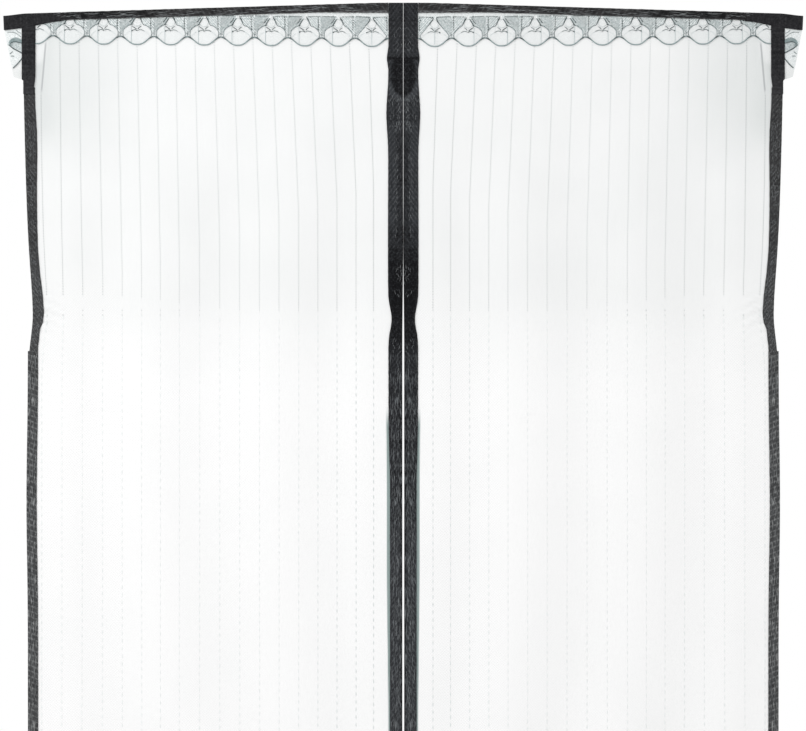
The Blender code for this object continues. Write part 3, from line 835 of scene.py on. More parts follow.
def ending(tree, geometry, given, result):
    real = node(tree, "GeometryNodeRealizeInstances", {"Geometry": geometry})
    values = {"Geometry": real.outputs[0], "Material": given["Material"]}
    dressed = node(tree, "GeometryNodeSetMaterial", values)
    tree.links.new(dressed.outputs[0], result[0])


def stitch_tree():
    """Knitted or sewn stitches along lines, one bead each, swaying from side to side."""
    sizes = {"Pitch": 0.002, "Length": 0.0015, "Width": 0.001, "Depth": 0.0004, "Sway": 0.0}
    tree, given, result = growing_tree("stitches_along_lines", sizes)
    line = node(tree, "GeometryNodeMeshToCurve", {"Mesh": given["Geometry"]}).outputs[0]
    evenly = node(tree, "GeometryNodeResampleCurve", {"Curve": line, "Length": given["Pitch"]}, mode="LENGTH")
    course = node(tree, "GeometryNodeInputTangent").outputs[0]
    turned = node(tree, "FunctionNodeAlignRotationToVector", {"Vector": course}, axis="X").outputs[0]
    size = node(tree, "ShaderNodeCombineXYZ", {0: given["Length"], 1: given["Depth"], 2: given["Width"]})
    bead = node(tree, "GeometryNodeMeshIcoSphere", {"Radius": 0.5, "Subdivisions": 1}).outputs[0]
    row = node(
        tree, "GeometryNodeInstanceOnPoints",
        {"Points": evenly.outputs[0], "Instance": bead, "Rotation": turned, "Scale": size.outputs[0]},
    )
    number = node(tree, "GeometryNodeInputIndex").outputs[0]
    side = maths(tree, "SUBTRACT", maths(tree, "MODULO", number, 2.0), 0.5)
    offset = node(tree, "ShaderNodeCombineXYZ", {2: times(tree, side, given["Sway"])})
    swayed = node(
        tree, "GeometryNodeTranslateInstances",
        {"Instances": row.outputs[0], "Translation": offset.outputs[0], "Local Space": True},
    )
    ending(tree, swayed.outputs[0], given, result)
    return tree


def thread_tree():
    """Round thread along lines, as thick as the lines' own thickness says."""
    tree, given, result = growing_tree("thread_along_lines", {"Radius": 1.0, "Sides": 5})
    line = node(tree, "GeometryNodeMeshToCurve", {"Mesh": given["Geometry"]}).outputs[0]
    thickness = node(tree, "GeometryNodeInputNamedAttribute", {"Name": "thickness"}, data_type="FLOAT")
    size = times(tree, thickness.outputs[0], given["Radius"])
    rim = node(tree, "GeometryNodeCurvePrimitiveCircle", {"Resolution": given["Sides"], "Radius": 1.0})
    body = node(
        tree, "GeometryNodeCurveToMesh",
        {"Curve": line, "Profile Curve": rim.outputs[0], "Scale": size, "Fill Caps": True},
    )
    smooth = node(tree, "GeometryNodeSetShadeSmooth", {"Geometry": body.outputs[0]})
    ending(tree, smooth.outputs[0], given, result)
    return tree


def fleck_tree():
    """Short bowed fibres scattered over cloth where its flecks say so, lying along the tape."""
    sizes = {"Density": 1000.0, "Length": 0.004, "Width": 0.0003, "Bow": 2.0, "Lie": 0.0, "Tilt": 0.3}
    sizes["Seed"] = 1
    tree, given, result = growing_tree("scattered_fibres", sizes)
    share = node(tree, "GeometryNodeInputNamedAttribute", {"Name": "flecks"}, data_type="FLOAT").outputs[0]
    density = times(tree, share, given["Density"])
    spread = node(
        tree, "GeometryNodeDistributePointsOnFaces",
        {"Mesh": given["Geometry"], "Density": density, "Seed": given["Seed"]},
        distribute_method="RANDOM",
    )
    middle = node(tree, "ShaderNodeCombineXYZ", {2: given["Bow"]}).outputs[0]
    bow = node(
        tree, "GeometryNodeCurveQuadraticBezier",
        {"Resolution": 4, "Start": (-0.5, 0.0, 0.0), "Middle": middle, "End": (0.5, 0.0, 0.0)},
    )
    rim = node(tree, "GeometryNodeCurvePrimitiveCircle", {"Resolution": 3, "Radius": 0.5})
    fibre = node(
        tree, "GeometryNodeCurveToMesh",
        {"Curve": bow.outputs[0], "Profile Curve": rim.outputs[0], "Fill Caps": True},
    )
    random_value = "FunctionNodeRandomValue"
    tilt = node(tree, random_value, {2: -1.0, 3: 1.0, "Seed": given["Seed"]}, data_type="FLOAT").outputs[1]
    angle = maths(tree, "MULTIPLY_ADD", tilt, given["Tilt"], given["Lie"])
    flip = node(tree, random_value, {4: 0, 5: 1, "Seed": 7}, data_type="INT").outputs[2]
    turned = maths(tree, "MULTIPLY_ADD", flip, math.pi, angle)
    euler = node(tree, "ShaderNodeCombineXYZ", {1: turned}).outputs[0]
    rotation = node(tree, "FunctionNodeEulerToRotation", {0: euler}).outputs[0]
    grown = node(tree, random_value, {2: 0.5, 3: 1.4, "Seed": 11}, data_type="FLOAT").outputs[1]
    length = times(tree, grown, given["Length"])
    size = node(tree, "ShaderNodeCombineXYZ", {0: length, 1: given["Width"], 2: given["Width"]}).outputs[0]
    laid = node(
        tree, "GeometryNodeInstanceOnPoints",
        {"Points": spread.outputs[0], "Instance": fibre.outputs[0], "Rotation": rotation, "Scale": size},
    )
    tone = node(tree, random_value, {2: 0.0, 3: 1.0, "Seed": 5}, data_type="FLOAT").outputs[1]
    painted_row = node(
        tree, "GeometryNodeStoreNamedAttribute",
        {"Geometry": laid.outputs[0], "Name": "shade", "Value": tone}, data_type="FLOAT",
        domain="INSTANCE",
    )
    ending(tree, painted_row.outputs[0], given, result)
    return tree


STITCHES = stitch_tree()
THREADS = thread_tree()
FLECKS = fleck_tree()


def grown(name, source, tree, surface, **sizes):
    """What a geometry tree makes of the source mesh, as a plain mesh."""
    holder = linked(name, source)
    maker = holder.modifiers.new("maker", "NODES")
    maker.node_group = tree
    places = {item.name: item.identifier for item in tree.interface.items_tree if item.in_out == "INPUT"}
    maker[places["Material"]] = surface
    for label, value in sizes.items():
        maker[places[label]] = value
    depsgraph = bpy.context.evaluated_depsgraph_get()
    result = bpy.data.meshes.new_from_object(
        holder.evaluated_get(depsgraph), preserve_all_data_layers=True, depsgraph=depsgraph
    )
    holder.modifiers.clear()
    holder.data = result
    result.name = name
    return holder


def line_mesh(name, lines):
    """Lines of (u, y, z) points with a thickness and a shade at each point, for the left curtain."""
    points = []
    edges = []
    thickness = []
    shade = []
    for course, thick, tone in lines:
        first = len(points)
        count = len(course)
        points += [(-u, y, z) for u, y, z in course]
        edges += [(first + k, first + k + 1) for k in range(count - 1)]
        thickness += list(np.broadcast_to(thick, count))
        shade += list(np.broadcast_to(tone, count))
    mesh = bpy.data.meshes.new(name)
    mesh.from_pydata(points, edges, [])
    for label, values in (("thickness", thickness), ("shade", shade)):
        paint = mesh.attributes.new(label, "FLOAT", "POINT")
        paint.data.foreach_set("value", np.array(values, np.float32))
    return mesh


def mirrored(piece):
    """The same piece for the right curtain."""
    mesh = piece.data.copy()
    places = np.zeros(len(mesh.vertices) * 3, np.float32)
    mesh.vertices.foreach_get("co", places)
    places[0::3] *= -1
    mesh.vertices.foreach_set("co", places)
    mesh.flip_normals()
    mesh.update()
    return linked(piece.name.replace("_left", "_right"), mesh)


def both_sides(piece, replaced=None):
    """Hand the left piece and its mirrored copy over to the frame.

    replaced is the CAD node that each stands for, without its side.
    """
    for label, item in (("left", piece), ("right", mirrored(piece))):
        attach(item, "root")
        if replaced:
            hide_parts(f"{replaced}_{label}")


# Net
def net_heights():
    """Rows of the net from the hem to the foot of the ear, closest together around the pinch."""
    parts = [(EDGE_INSET, 1.55, 0.018), (1.55, 1.80, 0.004), (1.80, EAR_BOTTOM - 0.004, 0.008)]
    return stepped(parts, EAR_BOTTOM)


def net_depth(u, z):
    """Depth of the net, with the waves, the fold beside the strap and the puckers at the pinch."""
    y = wave(u, z)
    from_edge = np.maximum(0.0, side_fold(np.minimum(z, EAR_BOTTOM)) - BINDING_WIDTH - u)
    pucker = bell(z - PINCH_HEIGHT, 0.020) * bell(from_edge - 0.010, 0.012)
    y = y + PUCKER_DEPTH * pucker * np.sin(math.tau * (z - PINCH_HEIGHT + 0.5 * from_edge) / PUCKER_LENGTH)
    fold = crease_offset(u, z)
    length = falling(z, 2.062, 0.02) * rising(z, 1.975, 0.03)
    return y - CREASE_DEPTH * bell(fold, CREASE_SPREAD) * length


def crease_offset(u, z):
    """Distance from the slanting fold in the net beside the corner strap."""
    return u - blend(CREASE_HEAD, CREASE_FOOT, (CREASE_TOP - z) / (CREASE_TOP - CREASE_BOTTOM))


def net_shade(u, z):
    """How grey the net looks: most in the outer top corner, least below the pinch."""
    corner = rising(u, 0.30, 0.15) * rising(z, 1.86, 0.12)
    beside_strap = rising(u, 0.425, 0.03) * rising(z, 1.90, 0.05)
    general = NET_GREY + NET_GREY_RISE * rising(z, 1.60, 0.17)
    lapped_top = smooth_step((crease_offset(u, z) + 0.001) / 0.002) * rising(z, 2.014, 0.02)
    beside = CORNER_GREY * corner + STRAP_GREY * beside_strap + DOUBLED_TOP_GREY * lapped_top
    return np.clip(general + beside * (1 - ear_share(u)), 0, 1)


def selvedge_share(u, z):
    """1 on the bare selvedge beside the lower part of the centre band."""
    width = SELVEDGE_WIDTH + SELVEDGE_WIDENING * falling(z, 1.58, 0.08)
    width = width - SELVEDGE_NARROWING * falling(z, 1.40, 0.20)
    outside = u - band_edge(z)
    return falling(z, SELVEDGE_TOP + 0.01, 0.03) * falling(outside, width, 0.0006)


def net_cloth(surface):
    levels = net_heights()
    stripes = FIRST_STRIPE + STRIPE_PITCH * np.arange(STRIPE_COUNT)
    columns = [NET_INNER_EDGE, 0.0145, 0.0165, 0.0178, 0.0190, 0.0197, 0.0203, 0.0209, 0.0222, 0.026, 0.030]
    for stripe in stripes:
        columns += [stripe + offset for offset in (-0.0030, -0.0010, 0.0010, 0.0030, 0.0072, 0.0122, 0.0172)]
    columns = [place for place in columns if place < 0.4440]
    places = np.array(columns + list(np.arange(0.4446, 0.4540, 0.0006)) + [0.4555])
    last = places[-1]
    fold = side_fold(levels) - EDGE_INSET
    shares = (places - places[0]) / (last - places[0])
    eased = shares**6
    u = places[None, :] + (fold[:, None] - last) * eased[None, :]
    u = np.concatenate([u[:, :-1], u[:, -1:] - 0.004, u[:, -1:]], axis=1)
    z = np.broadcast_to(levels[:, None], u.shape)
    grid = np.stack([u, net_depth(u, z), z], axis=-1)

    ear_top = float(header_bottom(HALF_WIDTH))
    upper = []
    for share, level in zip(np.linspace(0, 1, EAR_ROWS), np.linspace(EAR_BOTTOM, ear_top, EAR_ROWS)):
        outer = blend(HALF_WIDTH - EAR_FOOT_INSET, HALF_WIDTH - EAR_SIDE_INSET, share)
        inner = u[-1, -1]
        beyond = np.linspace(0, 1, 9)[1:]
        row = np.concatenate([u[-1], blend(inner, outer, beyond)])
        rise = np.concatenate([0 * u[-1], EAR_FOOT_RISE * beyond**2 * max(0.0, 1 - 3 * share)])
        upper.append(np.stack([row, net_depth(row, level + rise), level + rise], axis=-1))
    row = upper[-1][:, 0]
    upper.append(np.stack([row, 0 * row, cloth_top(row)], axis=-1))
    upper = np.array(upper)

    count = grid.shape[0] * grid.shape[1]
    points = np.concatenate([grid.reshape(-1, 3), upper.reshape(-1, 3)])
    faces = np.concatenate([grid_faces(*grid.shape[:2]), grid_faces(*upper.shape[:2]) + count])[:, ::-1]
    flat = points[:, [0, 2]].copy()
    paints = {
        "shade": net_shade(points[:, 0], points[:, 2]),
        "selvedge": selvedge_share(points[:, 0], points[:, 2]),
    }
    mesh = cloth_mesh("net_cloth_left", points, faces, surface, flat, paints)
    shell = bmesh.new()
    shell.from_mesh(mesh)
    bmesh.ops.remove_doubles(shell, verts=shell.verts, dist=1e-6)
    shell.to_mesh(mesh)
    shell.free()
    return linked("net_cloth_left", mesh)


def stripe_line(number, low, high, step):
    z = np.arange(low, high, step)
    u = stripe_course(number, z)
    return np.stack([u, net_depth(u, z) - 0.0003, z], axis=-1)


def stripe_stitches(surface, faint_surface):
    """Dots of the stripes above the pinch and longer, fainter stitches below it."""
    chance = random.Random(3)
    upper = []
    lower = []
    for number in range(STRIPE_COUNT):
        top = float(cloth_top(stripe_course(number, SCREEN_HEIGHT))) - 0.004
        if number == STRIPE_COUNT - 1:
            top = CREASED_STRIPE_TOP
        from_middle = abs(2 * number / (STRIPE_COUNT - 1) - 1)
        end = DOTS_END + 0.020 * rising(number, 6, 8)
        upper.append((stripe_line(number, end, top, 0.004), 1.0, 0.1 + 0.9 * from_middle**2))
        if number > 8:
            last_dots = stripe_line(number, PINCH_HEIGHT - 0.003, PINCH_HEIGHT + 0.004, 0.003)
            upper.append((last_dots, 1.0, 0.6))
        start = HEM_HEIGHT + 0.001 + chance.random() * DASH_PITCH
        strength = 0.16 + 0.50 * falling(number, 5, 5)
        lower.append((stripe_line(number, start, DOTS_END - 0.004, 0.012), 1.0, strength))
    dot_sizes = dict(Pitch=DOT_PITCH, Length=0.0012, Width=0.0014, Depth=0.0004, Sway=0.0005)
    dash_sizes = dict(Pitch=DASH_PITCH, Length=0.0060, Width=0.0011, Depth=0.0004, Sway=0.0004)
    dots = grown("net_stripe_dots_left", line_mesh("dot_lines", upper), STITCHES, surface, **dot_sizes)
    dashes = line_mesh("dash_lines", lower)
    dashes = grown("net_stripe_dashes_left", dashes, STITCHES, faint_surface, **dash_sizes)
    return dots, dashes


# Lace
def lace_cloth(surface):
    end = HALF_WIDTH - EAR_SIDE_INSET - 0.0003
    u = np.linspace(LACE_START, end, 640)
    foot = lace_bottom(u)
    top = cloth_top(u)
    petal = np.clip(petal_edge(u), foot + 0.0012, top - 0.002)
    in_ear = ear_share(u)
    petal = blend(petal, foot + 0.5 * (top - foot), in_ear)
    rows = [foot, foot + 0.0006]
    rows += [blend(foot + 0.0006, petal - 0.0003, share) for share in np.linspace(0, 1, 13)[1:]]
    rows += [blend(petal + 0.0003, top, share) for share in np.linspace(0, 1, 15)]
    z = np.array(rows)
    across = np.broadcast_to(u[None, :], z.shape)
    y = np.full(z.shape, -LACE_DEPTH)
    dense = (z > petal[None, :]).astype(float)
    top_line = scallop_bottom(u) + LACE_TOP_LINE
    dense = dense * np.where(z > top_line[None, :] + 0.0006, 0.35, 1.0)
    dense = dense * smooth_step((z - scallop_bottom(u)[None, :] - PALE_FOOT) / 0.0035)
    ear = ear_closeness(across, z)
    closeness = np.where(in_ear[None, :] > 0.5, ear, dense)
    points = np.stack([across, y, z], axis=-1).reshape(-1, 3)
    flat = points[:, [0, 2]].copy()
    faces = grid_faces(*z.shape)[:, ::-1]
    mesh = cloth_mesh("lace_cloth_left", points, faces, surface, flat, {"closeness": closeness.ravel()})
    return linked("lace_cloth_left", mesh)


# The ear's leaf, as (distance outside the strap, drop below the end tab)
EAR_LEAF_TOP = [(0.0165, 0.0180), (0.0138, 0.0145), (0.0104, 0.0124), (0.0060, 0.0120), (0.0, 0.0146)]
EAR_LEAF_BOTTOM = [(0.0165, 0.0206), (0.0140, 0.0228), (0.0110, 0.0252), (0.0050, 0.0284), (0.0, 0.0312)]
EAR_OPENING_TOP = [(0.0150, 0.0196), (0.0132, 0.0182), (0.0090, 0.0168), (0.0040, 0.0178), (0.0, 0.0188)]


def ear_curve(u, stops):
    """Height at u of a line through the stops of the ear's leaf."""
    out = np.array([stop[0] for stop in reversed(stops)])
    drop = np.array([stop[1] for stop in reversed(stops)])
    return EAR_LEVEL - np.interp(u - STRAP_OUTER, out, drop)


def ear_closeness(u, z):
    inside = (z < ear_curve(u, EAR_LEAF_TOP)) & (z > ear_curve(u, EAR_LEAF_BOTTOM))
    opening = (z < ear_curve(u, EAR_OPENING_TOP)) & (z > ear_curve(u, EAR_LEAF_BOTTOM))
    return np.where(opening, 0.85, np.where(inside, 1.6, 0.50))


def curve_points(stops, count):
    """Smooth course through (u, z) stops."""
    stops = np.array(stops, float)
    steps = np.linspace(0, len(stops) - 1, count)
    numbers = np.minimum(steps.astype(int), len(stops) - 2)
    t = (steps - numbers)[:, None]
    padded = np.concatenate([2 * stops[:1] - stops[1:2], stops, 2 * stops[-1:] - stops[-2:-1]])
    p0, p1, p2, p3 = [padded[numbers + k] for k in range(4)]
    return 0.5 * (
        2 * p1 + (p2 - p0) * t + (2 * p0 - 5 * p1 + 4 * p2 - p3) * t**2 + (3 * p1 - p0 - 3 * p2 + p3) * t**3
    )


def curve_from(u, z, stops, count, side=1):
    """Smooth course through stops that are measured from (u, z), towards the slit if side is -1."""
    return curve_points([(u + side * a, z + b) for a, b in stops], count)


def lace_line(course, thick, tone, depth=THREAD_DEPTH):
    """A thread of the lace through (u, z) points, cut off where it would leave the lace."""
    course = np.array(course)
    kept = course[:, 1] < cloth_top(course[:, 0]) - 0.0005
    course = course[kept]
    thick = np.broadcast_to(thick, kept.shape)[kept]
    tone = np.broadcast_to(tone, kept.shape)[kept]
    if len(course) < 2:
        return []
    points = np.stack([course[:, 0], np.full(len(course), depth), course[:, 1]], axis=-1)
    return [(points, thick, tone)]


def edge_cord():
    """The thick thread along the scallops, darker beside each cusp."""
    u = np.linspace(0.0150, STRAP_INNER + 0.002, 520)
    phase = np.abs(scallop_phase(u))
    dark = 0.28 + 0.60 * bell(phase - 0.41, 0.05) + 0.12 * ripple(u, 0.009, 4)
    thick = 0.00078 + 0.00020 * bell(phase - 0.41, 0.05) + 0.00010 * ripple(u, 0.006, 5)
    lines = lace_line(np.stack([u, scallop_edge(u) + 0.0007], axis=-1), thick, dark, CORD_DEPTH)
    u = np.linspace(STRAP_OUTER - 0.003, HALF_WIDTH - EAR_FOOT_INSET + 0.0006, 24)
    z = ear_lace_edge(u) + 0.0007
    return lines + lace_line(np.stack([u, z], axis=-1), 0.00075, 0.8, CORD_DEPTH)


def petal_outline(centre, side):
    """One side of a petal, from the cord up to the neck."""
    half_width = PETAL_HALF_WIDTH if side > 0 else PETAL_HALF_WIDTH_TO_SLIT
    off = np.concatenate([half_width * np.sin(np.linspace(math.pi / 2, 0.24, 24)), [NECK_HALF_WIDTH]])
    u = centre + side * off
    z = petal_edge(u)
    foot = float(scallop_edge(u[:1])[0]) + 0.0008
    u = np.concatenate([[u[0] + side * 0.0002], u])
    z = np.concatenate([[foot], z])
    off = np.concatenate([off[:1], off])
    inner = 1 if side < 0 else 0
    thick = 0.00036 + 0.00016 * bell(off - 0.0045, 0.0025) + 0.00010 * ripple(u, 0.004, 6)
    tone = 0.45 + 0.45 * bell(off - 0.0045, 0.0030) + 0.15 * inner + 0.35 * ripple(u, 0.005, 7)
    return lace_line(np.stack([u, z], axis=-1), thick, tone)


def neck_knots(centre):
    """Dark loop on the outer side of the neck and a knot on its inner side. The innermost has two knots."""
    base = scallop_bottom(centre)
    if centre < FIRST_SCALLOP + SCALLOP_PITCH / 2:
        stops = [(0.0044, 0.0356), (0.0026, 0.0366), (0.0020, 0.0350), (0.0034, 0.0332)]
        courses = [([(side * a, b) for a, b in stops], 0.0005) for side in (-1, 1)]
    else:
        courses = [
            ([(0.0092, 0.0286), (0.0070, 0.0312), (0.0046, 0.0345)], 0.00042),
            ([(0.0068, 0.0262), (0.0046, 0.0294), (0.0016, 0.0345)], 0.00046),
            ([(0.0070, 0.0268), (0.0064, 0.0260), (0.0058, 0.0256)], 0.00090),
            ([(-0.0026, 0.0346), (-0.0040, 0.0338), (-0.0052, 0.0322)], 0.00070),
        ]
    lines = []
    for stops, thick in courses:
        lines += lace_line(curve_from(centre, base, stops, 10), thick, 0.95, KNOT_DEPTH)
    return lines


def dense_hatching(cusp, chance):
    """Fine slanting threads across the dense net between two petals, closest on its inner side."""
    lines = []
    base = scallop_bottom(cusp)
    reach = SCALLOP_PITCH / 2 - NECK_HALF_WIDTH
    for side, step, lean in ((-1, 0.0019, 1.25), (1, 0.0030, 0.9)):
        for offset in np.arange(-0.030, 0.020, step):
            z = np.linspace(base + SCALLOP_DEPTH, base + LACE_TOP_LINE, 26)
            u = cusp + side * ((z - base - PETAL_MIDDLE) * lean + offset)
            inside = (side * (u - cusp) > -0.001) & (np.abs(u - cusp) < reach) & (z > petal_edge(u) + 0.0005)
            if inside.sum() >= 3:
                course = np.stack([u, z], axis=-1)[inside]
                thick = chance.uniform(0.00013, 0.00022)
                lines += lace_line(course, thick, chance.uniform(0.3, 0.8), HATCHING_DEPTH)
    return lines


def dotted_line(start, end, count, thick, tone, chance):
    """Short dashes in a row, as a stippled line."""
    lines = []
    for number in range(count):
        low = (number + 0.15) / count
        high = (number + 0.70) / count
        shake = chance.uniform(-0.0003, 0.0003)
        points = [
            (blend(start[0], end[0], share) + shake, blend(start[1], end[1], share)) for share in (low, high)
        ]
        lines += lace_line(points, thick * chance.uniform(0.7, 1.3), tone)
    return lines


def cusp_threads(cusp, chance):
    """Stem and dotted top line of the dense net between two petals."""
    base = scallop_bottom(cusp)
    stem = cusp + float(blend(STEM_OFFSET, STEM_OFFSET_AT_BAND, beside_band(cusp)))
    top = base + LACE_TOP_LINE
    lines = dotted_line((stem - 0.0004, base + 0.0200), (stem, top), 6, 0.00056, 0.95, chance)
    lines += dotted_line((cusp - 0.0003, base + 0.0105), (cusp, base + 0.0165), 3, 0.0003, 0.5, chance)
    for side in (-1, 1):
        start = (cusp + side * 0.0010, top)
        end = (cusp + side * (SCALLOP_PITCH / 2 - 0.0042), top - 0.0006)
        lines += dotted_line(start, end, 9, 0.00046, 0.85, chance)
    for side in (-1, 1):
        stops = [(0.0008, 0.0150), (0.0034, 0.0125), (0.0042, 0.0105)]
        lines += lace_line(curve_from(cusp, base, stops, 8, side), 0.00018, 0.45)
    return lines


def sprig(centre, chance):
    """Small branch in the middle of a petal: two strokes up, two leaves to the sides."""
    base = scallop_bottom(centre)
    heart = blend(SPRIG_RISE_AT_BAND, SPRIG_RISE, rising(centre, FIRST_SCALLOP, SCALLOP_PITCH))
    strokes = [
        ([(0.0067, 0.0239), (0.0040, 0.0222), (0.0006, 0.0198)], [0.00034, 0.00046, 0.00046], 0.9),
        ([(-0.0054, 0.0236), (-0.0030, 0.0222), (-0.0013, 0.0200)], [0.00030, 0.00044, 0.00044], 0.9),
        ([(0.0002, heart + 0.0006), (0.0, heart), (-0.0003, heart - 0.0006)], [0.0004, 0.0007, 0.0004], 0.95),
        ([(0.0070, 0.0172), (0.0062, 0.0178), (0.0052, 0.0183)], [0.0004, 0.0008, 0.0004], 0.95),
        ([(0.0056, 0.0182), (0.0026, 0.0190), (0.0004, heart)], [0.00030, 0.00040, 0.00040], 0.75),
        ([(-0.0012, 0.0181), (-0.0038, 0.0191), (-0.0064, 0.0186), (-0.0089, 0.0173)], 0.00036, 0.75),
    ]
    lines = []
    for stops, thick, tone in strokes:
        course = curve_from(centre, base, stops, 9)
        along = np.linspace(0, 1, 9)
        thickness = np.interp(along, np.linspace(0, 1, np.size(thick)), np.atleast_1d(thick))
        lines += lace_line(course, thickness * chance.uniform(0.9, 1.2), tone)
    return lines


def petal_ring(centre):
    """Round eye under the neck and the faint arcs that fall from the leaves."""
    base = scallop_bottom(centre)
    turns = np.linspace(0, math.tau, 22)
    ring = [(centre + 0.0053 * math.sin(t), base + 0.0285 + 0.0053 * math.cos(t)) for t in turns]
    lines = lace_line(ring, 0.00015, 0.20)
    vein = centre + VEIN_OFFSET * (centre > FIRST_SCALLOP + SCALLOP_PITCH / 2)
    course = [(vein + 0.0003, base + 0.0236), (vein, base + 0.0172), (vein, base + 0.0030)]
    lines += lace_line(curve_points(course, 8), 0.00024, -0.3)
    for side in (-1, 1):
        stops = [(0.0090, 0.0170), (0.0126, 0.0150), (0.0156, 0.0112)]
        lines += lace_line(curve_from(centre, base, stops, 9, side), 0.00011, 0.0)
    return lines


def ear_threads():
    def out(stops):
        return [(STRAP_OUTER + a, EAR_LEVEL - b) for a, b in stops]

    lines = lace_line(curve_points(out(EAR_LEAF_TOP), 18), 0.00030, 0.35)
    lines += lace_line(curve_points(out(EAR_LEAF_BOTTOM), 18), np.linspace(0.0005, 0.0007, 18), 0.95)
    lines += lace_line(curve_points(out(EAR_OPENING_TOP), 18), 0.00052, 0.85)
    rim = (EAR_LEAF_TOP, EAR_OPENING_TOP, 4, 0.00038)
    opening = (EAR_OPENING_TOP, EAR_LEAF_BOTTOM, 8, 0.00015)
    for upper, lower, count, thick in (rim, opening):
        for share in np.linspace(0, 1, count + 2)[1:-1]:
            stops = blend(np.array(upper), np.array(lower), share)
            lines += lace_line(curve_points(out(stops), 16), thick, 0.2)
    strokes = [
        [(0.0148, 0.0322), (0.0114, 0.0292)],
        [(0.0138, 0.0350), (0.0114, 0.0347), (0.0094, 0.0350)],
        [(0.0180, 0.0050), (0.0088, 0.0056), (0.0010, 0.0110)],
        [(0.0070, 0.0022), (0.0040, 0.0050), (0.0010, 0.0064)],
    ]
    for number, stroke in enumerate(strokes):
        lines += lace_line(curve_points(out(stroke), 8), 0.00042 if number < 2 else 0.00030, 0.7)
    return lines


def lace_threads(surface):
    chance = random.Random(8)
    lines = edge_cord() + ear_threads()
    count = int((STRAP_OUTER - FIRST_SCALLOP) / SCALLOP_PITCH) + 1
    for number in range(count):
        centre = FIRST_SCALLOP + SCALLOP_PITCH * number
        for side in (-1, 1):
            lines += petal_outline(centre, side)
        lines += neck_knots(centre) + sprig(centre, chance) + petal_ring(centre)
        cusp = centre + SCALLOP_PITCH / 2
        if cusp < STRAP_OUTER:
            lines += cusp_threads(cusp, chance) + dense_hatching(cusp, chance)
    lines += cusp_threads(FIRST_SCALLOP - SCALLOP_PITCH / 2, chance)
    lines += dense_hatching(FIRST_SCALLOP - SCALLOP_PITCH / 2, chance)
    kept = [line for line in lines if line[0][:, 0].min() > LACE_START]
    return grown("lace_threads_left", line_mesh("lace_lines", kept), THREADS, surface, Radius=1.0, Sides=5)


# Tapes
def frayed(along, seed, depth=0.00025):
    """Small unevenness of a woven edge."""
    return depth * (ripple(along, 0.011, seed) + 0.6 * ripple(along, 0.0037, seed + 1))


def header_cover(surface):
    along = np.linspace(HEADER_START, TAB_START + HEADER_OVERLAP, 266)
    end = TAB_START + HEADER_OVERLAP

    def rounded(u):
        return 1 - 0.55 * smooth_step((u - end + 0.004) / 0.004) ** 2

    def width(u):
        return (header_top(u) - header_bottom(u)) * rounded(u) + frayed(u, 21, 0.0003)

    def place(across, y, u):
        fall = 0.45 * (1 - rounded(u)) * HEADER_HEIGHT
        return u, y, header_top(u) - across - fall + 0.0002 * ripple(u, 0.03, 22) + 0.0003

    def relief(across, u):
        strand = np.sin(math.tau * (across / 0.0034 + 0.9 * ripple(u, 0.045, 23)))
        ropes = 0.00022 * strand + 0.00014 * ripple(u + 3.0 * across, 0.008, 24)
        over_tab = 0.0005 * smooth_step((u - TAB_START + 0.006) / 0.006)
        return ropes + over_tab

    def streaks(signed, u):
        middle = bell(signed / HEADER_HEIGHT - 0.45, 0.35)
        return np.clip(0.75 + 0.5 * ripple(u, 0.05, 25), 0.2, 1.0) * middle + 0.4 * (signed <= 0)

    def tone(signed, u):
        low_edge = smooth_step((signed / (HEADER_HEIGHT + 0.001) - 0.75) / 0.2)
        darker = 0.24 * rising(u, 0.26, 0.10)
        return np.clip(0.33 - darker + 0.15 * ripple(u, 0.05, 26) + 0.55 * low_edge, 0, 1)

    return folded_tape(
        "header_cover_left", surface, along, width, lambda u: HEADER_HEIGHT + frayed(u, 27),
        constant(LACE_ROOM), constant(NET_ROOM), place, relief, {"streaks": streaks, "tone": tone},
        (14, 7, 7),
    )


def end_tab_cover(surface):
    along = np.linspace(TAB_START, HALF_WIDTH - 0.0004, 70)

    def width(u):
        return header_top(u) - header_bottom(u) + frayed(u, 31, 0.00015)

    def place(across, y, u):
        return u - 0.0008 * across / TAB_HEIGHT, y, header_top(u) - across + 0.0002

    def relief(across, u):
        return 0.0001 * ripple(u + across, 0.02, 32)

    return folded_tape(
        "end_tab_cover_left", surface, along, width, lambda u: TAB_INNER_HEIGHT + frayed(u, 33),
        constant(LACE_ROOM), constant(NET_ROOM), place, relief,
        {"streaks": constant(0.05), "tone": lambda s, u: 0.24 + 0.1 * ripple(u, 0.03, 34)}, (12, 7, 7),
    )


